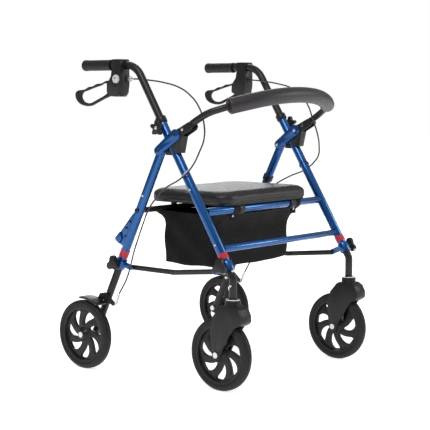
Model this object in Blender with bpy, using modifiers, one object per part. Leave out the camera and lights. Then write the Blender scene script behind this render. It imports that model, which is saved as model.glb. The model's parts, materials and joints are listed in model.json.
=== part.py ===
"""Folding four-wheeled rollator walker: front frame, folding rear frame, seat, bag, backrest, brakes.

Axes: +Z up, the walker rolls forward along -Y, and its right side, as its user stands, is -X.
The origin is on the floor, midway between the front and rear axles.
Places along the walker are first given rearward from the front axle, then moved by FRONT_AXLE_Y.
"""

import math

import bmesh
import bpy
from mathutils import Matrix
from mathutils import Vector

# Wheels and wheelbase
WHEELBASE = 0.482
WHEEL_RADIUS = 0.100
WHEEL_WIDTH = 0.028
RIM_RADIUS = 0.082
SPOKES = 7
SPOKE_SWEEP = 40.0
SPOKE_WIDTH = 0.0095
HUB_RADIUS = 0.019
HUB_HALF_WIDTH = 0.0148
WHEEL_SIDES = 28
FLAT_TO_CORNER = 1 / math.cos(math.pi / WHEEL_SIDES)
AXLE_RADIUS = 0.005
FRONT_AXLE_Y = -WHEELBASE / 2

# Side frames: both stand upright, this far each side of the middle
SIDE_X = 0.271
REAR_WHEEL_X = 0.314
LEG_RADIUS = 0.0127
LEG_BORE = 0.0112
INNER_TUBE_RADIUS = 0.0109
INNER_TUBE_WALL = 0.0016
GAP = 0.0003
HOLE_GAP = 0.0003

# Front leg and the handle tube that slides in it
FRONT_LEAN = math.radians(31.9)
FRONT_FOOT = (-0.029, 0.330)
FRONT_LEG_LENGTH = 0.466
GRIP_HEIGHT = 0.877
HANDLE_BEND = 0.065
HANDLE_INSERT = 0.19
HANDLE_END = 0.506
GRIP_RANGE = (0.404, 0.515)
GRIP_RADIUS = 0.0158

# Rear leg, from the hub up to the fold pivot
REAR_LEAN = math.radians(26.4)
REAR_FOOT_Z = 0.300
REAR_TOP_Z = 0.652
FOLD_PIVOT = (0.2175, 0.640)
BRACKET_BOLT = (0.151, 0.6854)
BRACKET_HALF_WIDTH = 0.0165
BRACKET_TAIL_HALF_WIDTH = 0.0120
PLATE = 0.003
BOLT_RADIUS = 0.004

# Crossbars
SEAT_BAR = (0.0635, 0.478)
SEAT_BAR_RADIUS = 0.011
LOWER_BAR = (0.004, 0.383)
LOWER_BAR_RADIUS = 0.0095
REAR_BAR_Z = 0.470
REAR_BAR_RADIUS = 0.008
BAR_END = SIDE_X - LEG_RADIUS - GAP

# Casters
CASTER_TRAIL = 0.041
STEM_BEND = 0.022
STEM_END_Z = 0.2515
FORK_HALF_WIDTH = 0.0225
FORK_SLOT = 0.0165
FORK_CLEARANCE = 0.106
FORK_TOP_Z = 0.250
FORK_COLLAR_RADIUS = 0.021

# Side braces: front ear, mid hinge and rear ear
BRACE_FRONT = (0.022, 0.321)
BRACE_MID = (0.180, 0.304)
BRACE_REAR = (0.337, 0.304)
BRACE_HALF_HEIGHT = 0.0072
EAR_HALF_THICKNESS = 0.0025
COLLAR_RADIUS = 0.0162
COLLAR_LENGTH = 0.026

# Clamping knobs
HEIGHT_KNOB_Z = 0.704
FRONT_KNOB_Z = 0.342
REAR_KNOB_Z = 0.315
SCREW_RADIUS = 0.004
STAR_RADIUS = 0.0225
TRI_RADIUS = 0.0240

# Seat and bag
SEAT_HALF_WIDTH = 0.205
SEAT_FRONT = 0.038
SEAT_REAR = 0.352
SEAT_CORNER = 0.050
SEAT_BOTTOM = 0.4895
SEAT_TOP = 0.525
SEAT_RECESS_TOP = 0.4975
SEAT_LIP = 0.012
BOARD_BOTTOM = 0.4900
SEAT_CLAMP_X = 0.118
BAG_HALF_WIDTH = 0.172
BAG_FRONT = 0.104
BAG_REAR = 0.312
BAG_BOTTOM = 0.304
BAG_TOP = 0.441
BAG_WALL = 0.003

# Backrest bow
BACKREST_PIN = (0.127, 0.701)
BOW_RADIUS = 0.0095
FOAM_RADIUS = 0.022
FOAM_END_X = 0.226

# Brakes
LEVER_PLANE = 0.287 - SIDE_X
LEVER_HALF_THICKNESS = 0.0037
LEVER_PIVOT = (0.372, 0.818)
BRAKE_PIVOT_Z = 0.215
SHOE_CLEARANCE = 0.005
SHOE_THICKNESS = 0.006
CABLE_RADIUS = 0.0022

SIDES = {"right": -1, "left": 1}

MATERIALS = {
    "frame_blue": ((0.02, 0.11, 0.42), 0.25, 0.7),
    "black_tube": ((0.02, 0.02, 0.022), 0.35, 0.2),
    "black_plastic": ((0.03, 0.03, 0.032), 0.5, 0.0),
    "grip_rubber": ((0.025, 0.025, 0.027), 0.75, 0.0),
    "foam": ((0.07, 0.068, 0.072), 0.6, 0.0),
    "vinyl": ((0.035, 0.03, 0.03), 0.3, 0.0),
    "nylon": ((0.012, 0.011, 0.012), 0.85, 0.0),
    "tyre": ((0.03, 0.03, 0.032), 0.7, 0.0),
    "rim_plastic": ((0.025, 0.025, 0.027), 0.45, 0.0),
    "steel": ((0.62, 0.62, 0.63), 0.25, 1.0),
    "cable": ((0.03, 0.03, 0.03), 0.4, 0.0),
}


def spot(x, y, z):
    """A world point from a place measured rearward of the front axle."""
    return Vector((x, y + FRONT_AXLE_Y, z))


def front_axis(z):
    """The front leg's axis at height z, as a place behind the front axle."""
    return FRONT_FOOT[0] + (z - FRONT_FOOT[1]) * math.tan(FRONT_LEAN)


def rear_axis(z):
    """The rear leg's axis at height z, as a place behind the front axle."""
    return WHEELBASE - (z - WHEEL_RADIUS) * math.tan(REAR_LEAN)


FRONT_DIRECTION = Vector((0, math.sin(FRONT_LEAN), math.cos(FRONT_LEAN)))
REAR_DIRECTION = Vector((0, -math.sin(REAR_LEAN), math.cos(REAR_LEAN)))


def clear_scene():
    """Remove what a new file holds."""
    for old in list(bpy.data.objects):
        bpy.data.objects.remove(old)


def make_materials():
    """One Principled material for each finish."""
    made = {}
    for name, (color, roughness, metallic) in MATERIALS.items():
        material = bpy.data.materials.new(name)
        material.use_nodes = True
        shader = material.node_tree.nodes["Principled BSDF"]
        shader.inputs["Base Color"].default_value = (*color, 1)
        shader.inputs["Roughness"].default_value = roughness
        shader.inputs["Metallic"].default_value = metallic
        made[name] = material
    return made


def link(obj):
    """Put an object in the walker's collection."""
    collection.objects.link(obj)
    return obj


def weld(mesh):
    """Merge a mesh's doubled vertices."""
    shape = bmesh.new()
    shape.from_mesh(mesh)
    bmesh.ops.remove_doubles(shape, verts=shape.verts, dist=0.000002)
    shape.to_mesh(mesh)
    shape.free()


def freeze(obj):
    """Turn a curve, or a mesh with modifiers, into a plain mesh in world space."""
    bpy.context.view_layer.update()
    ready = obj.evaluated_get(bpy.context.evaluated_depsgraph_get())
    mesh = bpy.data.meshes.new_from_object(ready)
    mesh.transform(obj.matrix_world)
    weld(mesh)
    bpy.data.objects.remove(obj)
    return link(bpy.data.objects.new("piece", mesh))


def frame_along(start, end):
    """A matrix that puts local Z along the way from start to end."""
    turn = Vector((0, 0, 1)).rotation_difference(end - start).to_matrix().to_4x4()
    return Matrix.Translation(start) @ turn


def turned(profile, steps, matrix, closed=False):
    """Turn a profile of (radius, height) points, given down its outer side, about local Z.

    The first facet is centred on local X, so that a wheel stands on a flat and not on a corner.
    """
    mesh = bpy.data.meshes.new("profile")
    edges = [(n, n + 1) for n in range(len(profile) - 1)]
    if closed:
        edges.append((len(profile) - 1, 0))
    mesh.from_pydata([(radius, 0, height) for radius, height in profile], edges, [])
    obj = link(bpy.data.objects.new("turned", mesh))
    obj.matrix_world = matrix @ Matrix.Rotation(math.pi / steps, 4, "Z")
    screw = obj.modifiers.new("Screw", "SCREW")
    screw.steps = steps
    screw.render_steps = steps
    screw.use_merge_vertices = True
    screw.merge_threshold = 0.00001
    return freeze(obj)


def pipe(start, end, outer, inner, steps=20):
    """A straight open tube."""
    length = (end - start).length
    ring = [(outer, length), (outer, 0), (inner, 0), (inner, length)]
    return turned(ring, steps, frame_along(start, end), closed=True)


def rod(start, end, radius, steps=12):
    """A straight solid bar."""
    length = (end - start).length
    shape = bmesh.new()
    bmesh.ops.create_cone(
        shape, cap_ends=True, segments=steps, radius1=radius, radius2=radius, depth=length
    )
    bmesh.ops.translate(shape, verts=shape.verts, vec=(0, 0, length / 2))
    mesh = bpy.data.meshes.new("rod")
    shape.to_mesh(mesh)
    shape.free()
    obj = link(bpy.data.objects.new("rod", mesh))
    obj.matrix_world = frame_along(start, end)
    return freeze(obj)


def cross_rod(x_low, x_high, y, z, radius, steps=12):
    """A solid bar along X."""
    return rod(spot(x_low, y, z), spot(x_high, y, z), radius, steps)


def rounded_path(corners, bend, steps=4):
    """A polyline with an arc in place of each inner corner."""
    path = [corners[0]]
    for before, corner, after in zip(corners, corners[1:], corners[2:]):
        back = (before - corner).normalized()
        on = (after - corner).normalized()
        half_angle = back.angle(on) / 2
        reach = bend / math.tan(half_angle)
        centre = corner + (back + on).normalized() * bend / math.sin(half_angle)
        start = corner + back * reach - centre
        end = corner + on * reach - centre
        turn = start.rotation_difference(end)
        axis, angle = turn.to_axis_angle()
        for step in range(steps + 1):
            path.append(centre + Matrix.Rotation(angle * step / steps, 3, axis) @ start)
    path.append(corners[-1])
    return path


def sweep(path, radius, resolution=4, caps=True):
    """A round section along a polyline."""
    curve = bpy.data.curves.new("sweep", "CURVE")
    curve.dimensions = "3D"
    curve.bevel_depth = radius
    curve.bevel_resolution = resolution
    curve.use_fill_caps = caps
    spline = curve.splines.new("POLY")
    spline.points.add(len(path) - 1)
    for point, place in zip(spline.points, path):
        point.co = (*place, 1)
    return link(bpy.data.objects.new("sweep", curve))


def bent_bar(path, radius, resolution=4):
    """A solid bar along a path."""
    return freeze(sweep(path, radius, resolution))


def bent_pipe(path, radius, resolution=4):
    """An open tube along a path."""
    obj = freeze(sweep(path, radius, resolution, caps=False))
    wall = obj.modifiers.new("Wall", "SOLIDIFY")
    wall.thickness = INNER_TUBE_WALL
    wall.offset = -1
    return freeze(obj)


def flat_curve(outlines, half_thickness, matrix, rounding=0.0):
    """A filled 2D outline, with the later outlines as its holes, given thickness both ways."""
    curve = bpy.data.curves.new("flat", "CURVE")
    curve.dimensions = "2D"
    curve.fill_mode = "BOTH"
    curve.extrude = half_thickness - rounding
    curve.bevel_depth = rounding
    curve.bevel_resolution = 2 if rounding else 0
    curve.offset = -rounding
    for outline in outlines:
        spline = curve.splines.new("POLY")
        spline.points.add(len(outline) - 1)
        spline.use_cyclic_u = True
        for point, (across, up) in zip(spline.points, outline):
            point.co = (across, up, 0, 1)
    obj = link(bpy.data.objects.new("flat", curve))
    obj.matrix_world = matrix
    return freeze(obj)


def side_plate(outlines, x_low, x_high, rounding=0.0):
    """A plate whose outline lies in the side view, as (place behind the front axle, height)."""
    middle = (x_low + x_high) / 2
    turn = Matrix(((0, 0, 1, 0), (1, 0, 0, 0), (0, 1, 0, 0), (0, 0, 0, 1)))
    matrix = Matrix.Translation((middle, FRONT_AXLE_Y, 0)) @ turn
    return flat_curve(outlines, abs(x_high - x_low) / 2, matrix, rounding)


def slab(outline, z_low, z_high, rounding=0.0):
    """A slab whose outline lies in the top view, as (x, place behind the front axle)."""
    matrix = Matrix.Translation((0, FRONT_AXLE_Y, (z_low + z_high) / 2))
    return flat_curve([outline], (z_high - z_low) / 2, matrix, rounding)


def arc(centre, radius, start, end, steps):
    """Points on an arc, its angles in degrees."""
    points = []
    for step in range(steps + 1):
        angle = math.radians(start + (end - start) * step / steps)
        points.append((centre[0] + radius * math.cos(angle), centre[1] + radius * math.sin(angle)))
    return points


def circle(centre, radius, steps=16):
    """A closed round outline."""
    return arc(centre, radius, 0, 360 * (steps - 1) / steps, steps - 1)


def capsule(first, second, radius, steps=6):
    """The outline of a strip with round ends."""
    heading = math.degrees(math.atan2(second[1] - first[1], second[0] - first[0]))
    outline = arc(second, radius, heading - 90, heading + 90, steps)
    return outline + arc(first, radius, heading + 90, heading + 270, steps)


def tapered_capsule(first, first_radius, second, second_radius, steps=6):
    """The outline of a strip with round ends of two sizes."""
    run = math.dist(first, second)
    heading = math.degrees(math.atan2(second[1] - first[1], second[0] - first[0]))
    lean = math.degrees(math.asin((second_radius - first_radius) / run))
    outline = arc(second, second_radius, heading - 90 - lean, heading + 90 + lean, steps)
    return outline + arc(first, first_radius, heading + 90 + lean, heading + 270 - lean, steps)


def rounded_box(x_half, low, high, corner, steps=4):
    """A rectangle with round corners, centred in x."""
    outline = arc((x_half - corner, high - corner), corner, 0, 90, steps)
    outline += arc((corner - x_half, high - corner), corner, 90, 180, steps)
    outline += arc((corner - x_half, low + corner), corner, 180, 270, steps)
    return outline + arc((x_half - corner, low + corner), corner, 270, 360, steps)


def combine(base, others, operation):
    """Join other shapes to a base, or cut them from it, and remove them."""
    for other in others:
        step = base.modifiers.new("Combine", "BOOLEAN")
        step.operation = operation
        step.solver = "EXACT"
        step.object = other
    base = freeze(base)
    for other in others:
        bpy.data.objects.remove(other)
    return base


def join(base, *others):
    """One body from a base and the shapes that meet it."""
    return combine(base, others, "UNION")


def cut(base, *others):
    """The base with the other shapes taken away."""
    return combine(base, others, "DIFFERENCE")


def name_part(obj, name, material, pivot=None):
    """Name a finished piece, give it its finish, and put its origin on its joint's axis."""
    obj.name = name
    obj.data.name = name
    obj.data.materials.clear()
    obj.data.materials.append(materials[material])
    if pivot is not None:
        obj.data.transform(Matrix.Translation(-pivot))
        obj.location = pivot
    obj.data.shade_smooth()
    obj.data.set_sharp_from_angle(angle=math.radians(32))


def outboard(sign, offset):
    """An x that lies this far outboard of a side frame's plane."""
    return sign * (SIDE_X + offset)


def cross(sign, near, far, y, z, radius, steps=12):
    """A bar along X between two distances outboard of the side frame's plane."""
    return cross_rod(outboard(sign, near), outboard(sign, far), y, z, radius, steps)


def plate(sign, outlines, near, far, rounding=0.0):
    """A side plate between two distances outboard of the side frame's plane."""
    low, high = sorted((outboard(sign, near), outboard(sign, far)))
    return side_plate(outlines, low, high, rounding)


def make_front_leg(side, sign):
    """The straight blue leg, with holes in its outboard wall for the two clamping screws."""
    foot = spot(outboard(sign, 0), *FRONT_FOOT)
    leg = pipe(foot, foot + FRONT_DIRECTION * FRONT_LEG_LENGTH, LEG_RADIUS, LEG_BORE)
    holes = []
    for z in (HEIGHT_KNOB_Z, FRONT_KNOB_Z):
        holes.append(cross(sign, 0.005, 0.02, front_axis(z), z, SCREW_RADIUS + HOLE_GAP))
    name_part(cut(leg, *holes), f"front_leg_{side}", "frame_blue")


def make_rear_leg(side, sign):
    """The blue rear leg, pierced by the pivot at its top, and the stiffening fin behind it."""
    x = outboard(sign, 0)
    leg = pipe(
        spot(x, rear_axis(REAR_FOOT_Z), REAR_FOOT_Z),
        spot(x, rear_axis(REAR_TOP_Z), REAR_TOP_Z),
        LEG_RADIUS,
        LEG_BORE,
    )
    wall = LEG_RADIUS - 0.0007
    fin_root_top = (rear_axis(0.466) + wall / math.cos(REAR_LEAN), 0.466)
    fin_root_low = (rear_axis(0.364) + wall / math.cos(REAR_LEAN), 0.364)
    fin_edge = [(0.331, 0.4505), (0.3895, 0.3855), (0.3885, 0.3800), (0.3725, 0.3680)]
    fin = plate(sign, [[fin_root_top, fin_root_low, *reversed(fin_edge)]], -0.005, 0.005)
    leg = join(leg, fin)
    pin_hole = cross(sign, -0.02, 0.02, *FOLD_PIVOT, BOLT_RADIUS + HOLE_GAP)
    screw_z = REAR_KNOB_Z
    screw_hole = cross(sign, 0.005, 0.02, rear_axis(screw_z), screw_z, SCREW_RADIUS + HOLE_GAP)
    pivot = spot(x, *FOLD_PIVOT)
    name_part(cut(leg, pin_hole, screw_hole), f"rear_leg_{side}", "frame_blue", pivot)


def make_fold_bracket(side, sign):
    """Two tapered plates that clasp the front leg, joined by their two bolts."""
    inner = LEG_RADIUS + GAP
    outer = inner + PLATE
    outline = tapered_capsule(FOLD_PIVOT, BRACKET_TAIL_HALF_WIDTH, BRACKET_BOLT, BRACKET_HALF_WIDTH)
    near = plate(sign, [outline], -outer, -inner)
    far = plate(sign, [outline], inner, outer)
    pieces = [far]
    for bolt in (FOLD_PIVOT, BRACKET_BOLT):
        pieces.append(cross(sign, -outer - 0.002, outer + 0.002, *bolt, BOLT_RADIUS))
        pieces.append(cross(sign, outer - 0.001, outer + 0.003, *bolt, 0.007))
        pieces.append(cross(sign, -outer - 0.003, -outer + 0.001, *bolt, 0.007))
    name_part(join(near, *pieces), f"fold_bracket_{side}", "frame_blue")


def make_backrest_socket(side, sign):
    """The plastic clevis in front of the leg that carries the backrest's hinge pin."""
    inner = LEG_RADIUS
    outline = [
        (0.1050, 0.7215),
        (0.0960, 0.7190),
        (0.0920, 0.7080),
        (0.0960, 0.7000),
        (0.1280, 0.6820),
        (0.1390, 0.6360),
        (0.1640, 0.6360),
        (0.1780, 0.6860),
        (0.1680, 0.6930),
        (0.1380, 0.7050),
    ]
    body = plate(sign, [outline], -inner, inner)
    x = outboard(sign, 0)
    clasp = rod(
        spot(x, front_axis(0.60), 0.60),
        spot(x, front_axis(0.75), 0.75),
        LEG_RADIUS + GAP,
        24,
    )
    slot_half = BOW_RADIUS + 0.0004
    slot_outline = [(0.060, 0.682), (0.144, 0.682), (0.144, 0.760), (0.060, 0.760)]
    slot = plate(sign, [slot_outline], -slot_half, slot_half)
    bolt_hole = cross(sign, -0.02, 0.02, *BRACKET_BOLT, BOLT_RADIUS + HOLE_GAP)
    body = cut(body, clasp, slot, bolt_hole)
    pin = cross(sign, -inner - 0.002, inner + 0.002, *BACKREST_PIN, 0.003)
    name_part(join(body, pin), f"backrest_socket_{side}", "black_plastic")


def make_front_collar(side, sign):
    """The casting round the front leg's foot, with its ear for the side brace."""
    make_collar(f"front_collar_{side}", sign, FRONT_FOOT[1] - 0.002, front_axis, FRONT_DIRECTION,
                BRACE_FRONT, FRONT_KNOB_Z, None)


def make_rear_collar(side, sign):
    """The casting round the rear leg's foot, with its ear for the side brace."""
    make_collar(f"rear_collar_{side}", sign, REAR_FOOT_Z + 0.001, rear_axis, REAR_DIRECTION,
                BRACE_REAR, REAR_KNOB_Z, spot(outboard(sign, 0), *FOLD_PIVOT))


def make_collar(name, sign, low_z, axis, direction, ear, knob_z, pivot):
    """A ring on a leg, with an ear plate that reaches the brace's pivot."""
    x = outboard(sign, 0)
    start = spot(x, axis(low_z), low_z)
    ring = pipe(start, start + direction * COLLAR_LENGTH, COLLAR_RADIUS, LEG_RADIUS + GAP)
    root_z = low_z + COLLAR_LENGTH / 2
    root = (axis(root_z), root_z)
    web = plate(sign, [capsule(root, ear, 0.008)], -EAR_HALF_THICKNESS, EAR_HALF_THICKNESS)
    core = rod(start - direction * 0.03, start + direction * 0.06, LEG_RADIUS + GAP + 0.001, 24)
    web = cut(web, core)
    ring = join(ring, web)
    eye = cross(sign, -0.02, 0.01, *ear, 0.0035 + HOLE_GAP)
    screw = cross(sign, 0.008, 0.02, axis(knob_z), knob_z, SCREW_RADIUS + HOLE_GAP)
    name_part(cut(ring, eye, screw), name, "frame_blue", pivot)


def make_brace_links(side, sign):
    """The two strips of a side brace. They lie side by side where they meet at the mid hinge."""
    top = -EAR_HALF_THICKNESS - GAP
    front = plate(sign, [capsule(BRACE_FRONT, BRACE_MID, BRACE_HALF_HEIGHT)], top - 0.003, top)
    front_pin = cross(sign, top - 0.001, 0.005, *BRACE_FRONT, 0.0035)
    pivot = spot(outboard(sign, 0), *BRACE_FRONT)
    name_part(join(front, front_pin), f"brace_front_{side}", "black_tube", pivot)
    low = top - 0.003 - GAP
    rear = plate(sign, [capsule(BRACE_MID, BRACE_REAR, BRACE_HALF_HEIGHT)], low - 0.003, low)
    rear_pin = cross(sign, low - 0.001, 0.005, *BRACE_REAR, 0.0035)
    pivot = spot(outboard(sign, 0), *BRACE_REAR)
    name_part(join(rear, rear_pin), f"brace_rear_{side}", "black_tube", pivot)


def make_crossbars():
    """The two blue front bars and the black rear bar, each between its two legs."""
    seat_bar = pipe(spot(-BAR_END, *SEAT_BAR), spot(BAR_END, *SEAT_BAR), SEAT_BAR_RADIUS, 0.0095)
    name_part(seat_bar, "seat_crossbar", "frame_blue")
    lower = pipe(spot(-BAR_END, *LOWER_BAR), spot(BAR_END, *LOWER_BAR), LOWER_BAR_RADIUS, 0.008)
    name_part(lower, "lower_crossbar", "frame_blue")
    rear_y = rear_axis(REAR_BAR_Z)
    ends = (spot(-BAR_END, rear_y, REAR_BAR_Z), spot(BAR_END, rear_y, REAR_BAR_Z))
    name_part(pipe(*ends, REAR_BAR_RADIUS, 0.0065), "rear_crossbar", "black_tube", spot(0, *FOLD_PIVOT))


def make_caster_stem(side, sign):
    """The bent tube that plugs into the front leg and ends upright over the caster."""
    x = outboard(sign, 0)
    corner_z = FRONT_FOOT[1] - (FRONT_FOOT[0] + CASTER_TRAIL) / math.tan(FRONT_LEAN)
    top_z = 0.420
    corners = [
        spot(x, front_axis(top_z), top_z),
        spot(x, -CASTER_TRAIL, corner_z),
        spot(x, -CASTER_TRAIL, STEM_END_Z),
    ]
    stem = bent_pipe(rounded_path(corners, STEM_BEND), INNER_TUBE_RADIUS)
    name_part(stem, f"caster_stem_{side}", "black_tube", corners[0])


def make_caster_fork(side, sign):
    """The plastic fork: a collar under the stem, a hood over the wheel, and two tapering arms."""
    x = outboard(sign, 0)
    axle = (0.0, WHEEL_RADIUS)
    outline = arc(axle, 0.0145, 225, 375, 6)
    outline += [(0.0190, 0.1350), (0.0200, 0.1700), (0.0110, 0.2050), (-0.0120, 0.2320), (-0.0210, 0.2370)]
    outline += [(-0.0610, 0.2370), (-0.0760, 0.2290), (-0.0850, 0.2120), (-0.0860, 0.1950)]
    outline += [(-0.0800, 0.1880), (-0.0640, 0.1800), (-0.0400, 0.1500), (-0.0200, 0.1120)]
    body = plate(sign, [outline], -FORK_HALF_WIDTH, FORK_HALF_WIDTH)
    slot = cross(sign, -FORK_SLOT, FORK_SLOT, *axle, FORK_CLEARANCE, 48)
    body = cut(body, slot)
    collar = rod(spot(x, -CASTER_TRAIL, 0.225), spot(x, -CASTER_TRAIL, FORK_TOP_Z), FORK_COLLAR_RADIUS, 24)
    body = join(body, collar)
    hole = cross(sign, -0.03, 0.03, *axle, AXLE_RADIUS + HOLE_GAP)
    name_part(cut(body, hole), f"caster_fork_{side}", "black_plastic", spot(x, -CASTER_TRAIL, FORK_TOP_Z))


def spoke_opening(centre, number):
    """One gap between two swept spokes."""
    inner = 0.0265
    outer = 0.0735
    steps = 4
    pitch = 360 / SPOKES
    first, second = [], []
    for step in range(steps + 1):
        radius = inner + (outer - inner) * step / steps
        swing = number * pitch + SPOKE_SWEEP * step / steps
        half = math.degrees(SPOKE_WIDTH / 2 / radius)
        for edge, angle in ((first, swing + half), (second, swing + pitch - half)):
            turn = math.radians(angle)
            edge.append((centre[0] - radius * math.cos(turn), centre[1] + radius * math.sin(turn)))
    return first + second[::-1]


def make_wheel(name, sign, x, y):
    """A spoked plastic rim, and the tyre on it."""
    centre = (y, WHEEL_RADIUS)
    start = spot(x, y, WHEEL_RADIUS)
    matrix = frame_along(start, start + Vector((1, 0, 0)))
    gaps = [spoke_opening(centre, number) for number in range(SPOKES)]
    web = side_plate([circle(centre, 0.0785, WHEEL_SIDES), *gaps], x - 0.0055, x + 0.0055)
    rim = [(RIM_RADIUS, 0.012), (RIM_RADIUS, -0.012), (0.0755, -0.012), (0.0755, 0.012)]
    ring = turned(rim, WHEEL_SIDES, matrix, closed=True)
    bore = AXLE_RADIUS + HOLE_GAP
    half = HUB_HALF_WIDTH
    hub = turned([(HUB_RADIUS, half), (HUB_RADIUS, -half), (bore, -half), (bore, half)], 16, matrix, closed=True)
    core = cross_rod(x - 0.03, x + 0.03, y, WHEEL_RADIUS, 0.012)
    body = join(cut(web, core), ring, hub)
    name_part(body, f"wheel_rim_{name}", "rim_plastic", start)
    seat = RIM_RADIUS + GAP
    half = WHEEL_WIDTH / 2
    shoulder = [
        (0.0900, half),
        (0.0975, half - 0.0035),
        (WHEEL_RADIUS, 0.0060),
    ]
    tread = [(seat, half - 0.002), *shoulder]
    tread += [(radius, -height) for radius, height in reversed(shoulder)]
    tread.append((seat, 0.002 - half))
    tread = [(radius * FLAT_TO_CORNER, height) for radius, height in tread]
    name_part(turned(tread, WHEEL_SIDES, matrix, closed=True), f"tyre_{name}", "tyre", start)


def make_front_axle(side, sign):
    """A bolt through the fork's arms and the wheel's hub."""
    head = FORK_HALF_WIDTH + GAP
    axle = cross(sign, -head - 0.001, head + 0.001, 0, WHEEL_RADIUS, AXLE_RADIUS)
    caps = []
    for way in (-1, 1):
        caps.append(cross(sign, way * head, way * (head + 0.0032), 0, WHEEL_RADIUS, 0.0080))
    pivot = spot(outboard(sign, 0), 0, WHEEL_RADIUS)
    name_part(join(axle, *caps), f"axle_front_{side}", "steel", pivot)


def make_rear_axle(side, sign):
    """A stub bolt through the rear leg's foot, with a spacer up to the wheel."""
    hub = REAR_WHEEL_X - SIDE_X
    inner = INNER_TUBE_RADIUS + GAP
    y = WHEELBASE
    axle = cross(sign, -inner - 0.001, hub + HUB_HALF_WIDTH + 0.001, y, WHEEL_RADIUS, AXLE_RADIUS)
    spacer = cross(sign, inner, hub - HUB_HALF_WIDTH - GAP, y, WHEEL_RADIUS, 0.0080)
    nut = cross(sign, -inner - 0.005, -inner, y, WHEEL_RADIUS, 0.0085, 6)
    start = hub + HUB_HALF_WIDTH + GAP
    head = cross(sign, start, start + 0.004, y, WHEEL_RADIUS, 0.0085)
    pivot = spot(outboard(sign, 0), y, WHEEL_RADIUS)
    name_part(join(axle, spacer, nut, head), f"axle_rear_{side}", "steel", pivot)


def make_rear_extension(side, sign):
    """The black tube that slides in the rear leg and carries the rear axle."""
    x = outboard(sign, 0)
    top_z = 0.400
    low_z = WHEEL_RADIUS - 0.013
    tube = pipe(
        spot(x, rear_axis(low_z), low_z),
        spot(x, rear_axis(top_z), top_z),
        INNER_TUBE_RADIUS,
        INNER_TUBE_RADIUS - INNER_TUBE_WALL,
    )
    hole = cross(sign, -0.02, 0.02, WHEELBASE, WHEEL_RADIUS, AXLE_RADIUS + HOLE_GAP)
    boss = cross(
        sign, 0.0095, INNER_TUBE_RADIUS + 0.0015, rear_axis(BRAKE_PIVOT_Z), BRAKE_PIVOT_Z, 0.006, 12
    )
    pin = cross(
        sign, 0.0095, INNER_TUBE_RADIUS + 0.0110, rear_axis(BRAKE_PIVOT_Z), BRAKE_PIVOT_Z, 0.003, 12
    )
    name_part(join(cut(tube, hole), boss, pin), f"rear_extension_{side}", "black_tube", spot(x, 0, 0))


def make_brake_arm(side, sign):
    """The rear brake: a pivoted arm whose shoe curves over the tyre."""
    pivot = (rear_axis(BRAKE_PIVOT_Z), BRAKE_PIVOT_Z)
    hub = (WHEELBASE, WHEEL_RADIUS)
    low = WHEEL_RADIUS + SHOE_CLEARANCE
    high = low + SHOE_THICKNESS
    near = INNER_TUBE_RADIUS + 0.0015 + GAP
    far = near + 0.006
    shoe_outline = arc(hub, high, 83, 122, 8) + arc(hub, low, 122, 83, 8)
    shoe = plate(sign, [shoe_outline], near, REAR_WHEEL_X - SIDE_X + 0.011)
    lever_outline = [
        (pivot[0] - 0.0420, pivot[1] - 0.0210),
        (pivot[0] - 0.0330, pivot[1] - 0.0260),
        (pivot[0] + 0.0020, pivot[1] - 0.0110),
        (pivot[0] + 0.0180, pivot[1] - 0.0150),
        (pivot[0] + 0.0300, pivot[1] - 0.0100),
        (pivot[0] + 0.0200, pivot[1] + 0.0060),
        (pivot[0] + 0.0000, pivot[1] + 0.0100),
        (pivot[0] - 0.0100, pivot[1] + 0.0060),
    ]
    lever = plate(sign, [lever_outline], near, far)
    body = join(shoe, lever)
    hole = cross(sign, 0.005, 0.03, *pivot, 0.003 + HOLE_GAP)
    name_part(cut(body, hole), f"brake_arm_{side}", "black_tube", spot(outboard(sign, 0), *pivot))


def make_handle(side, sign):
    """The bent handle tube, and the grip on its end."""
    x = outboard(sign, 0)
    corner_y = front_axis(GRIP_HEIGHT)
    bottom = FRONT_FOOT[1] + (FRONT_LEG_LENGTH - HANDLE_INSERT) * math.cos(FRONT_LEAN)
    corners = [
        spot(x, front_axis(bottom), bottom),
        spot(x, corner_y, GRIP_HEIGHT),
        spot(x, HANDLE_END, GRIP_HEIGHT),
    ]
    tube = bent_pipe(rounded_path(corners, HANDLE_BEND, 7), INNER_TUBE_RADIUS)
    name_part(tube, f"handle_tube_{side}", "black_tube", corners[0])
    start = spot(x, GRIP_RANGE[0], GRIP_HEIGHT)
    length = GRIP_RANGE[1] - GRIP_RANGE[0]
    bore = INNER_TUBE_RADIUS + GAP
    profile = [
        (0, length),
        (0.0110, length),
        (0.0145, length - 0.0020),
        (GRIP_RADIUS, length - 0.0070),
        (GRIP_RADIUS, 0.0030),
        (GRIP_RADIUS - 0.0020, 0),
        (bore, 0),
        (bore, length - 0.0060),
        (0, length - 0.0060),
    ]
    grip = turned(profile, 24, frame_along(start, start + Vector((0, 1, 0))))
    name_part(grip, f"hand_grip_{side}", "grip_rubber", corners[0])


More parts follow.
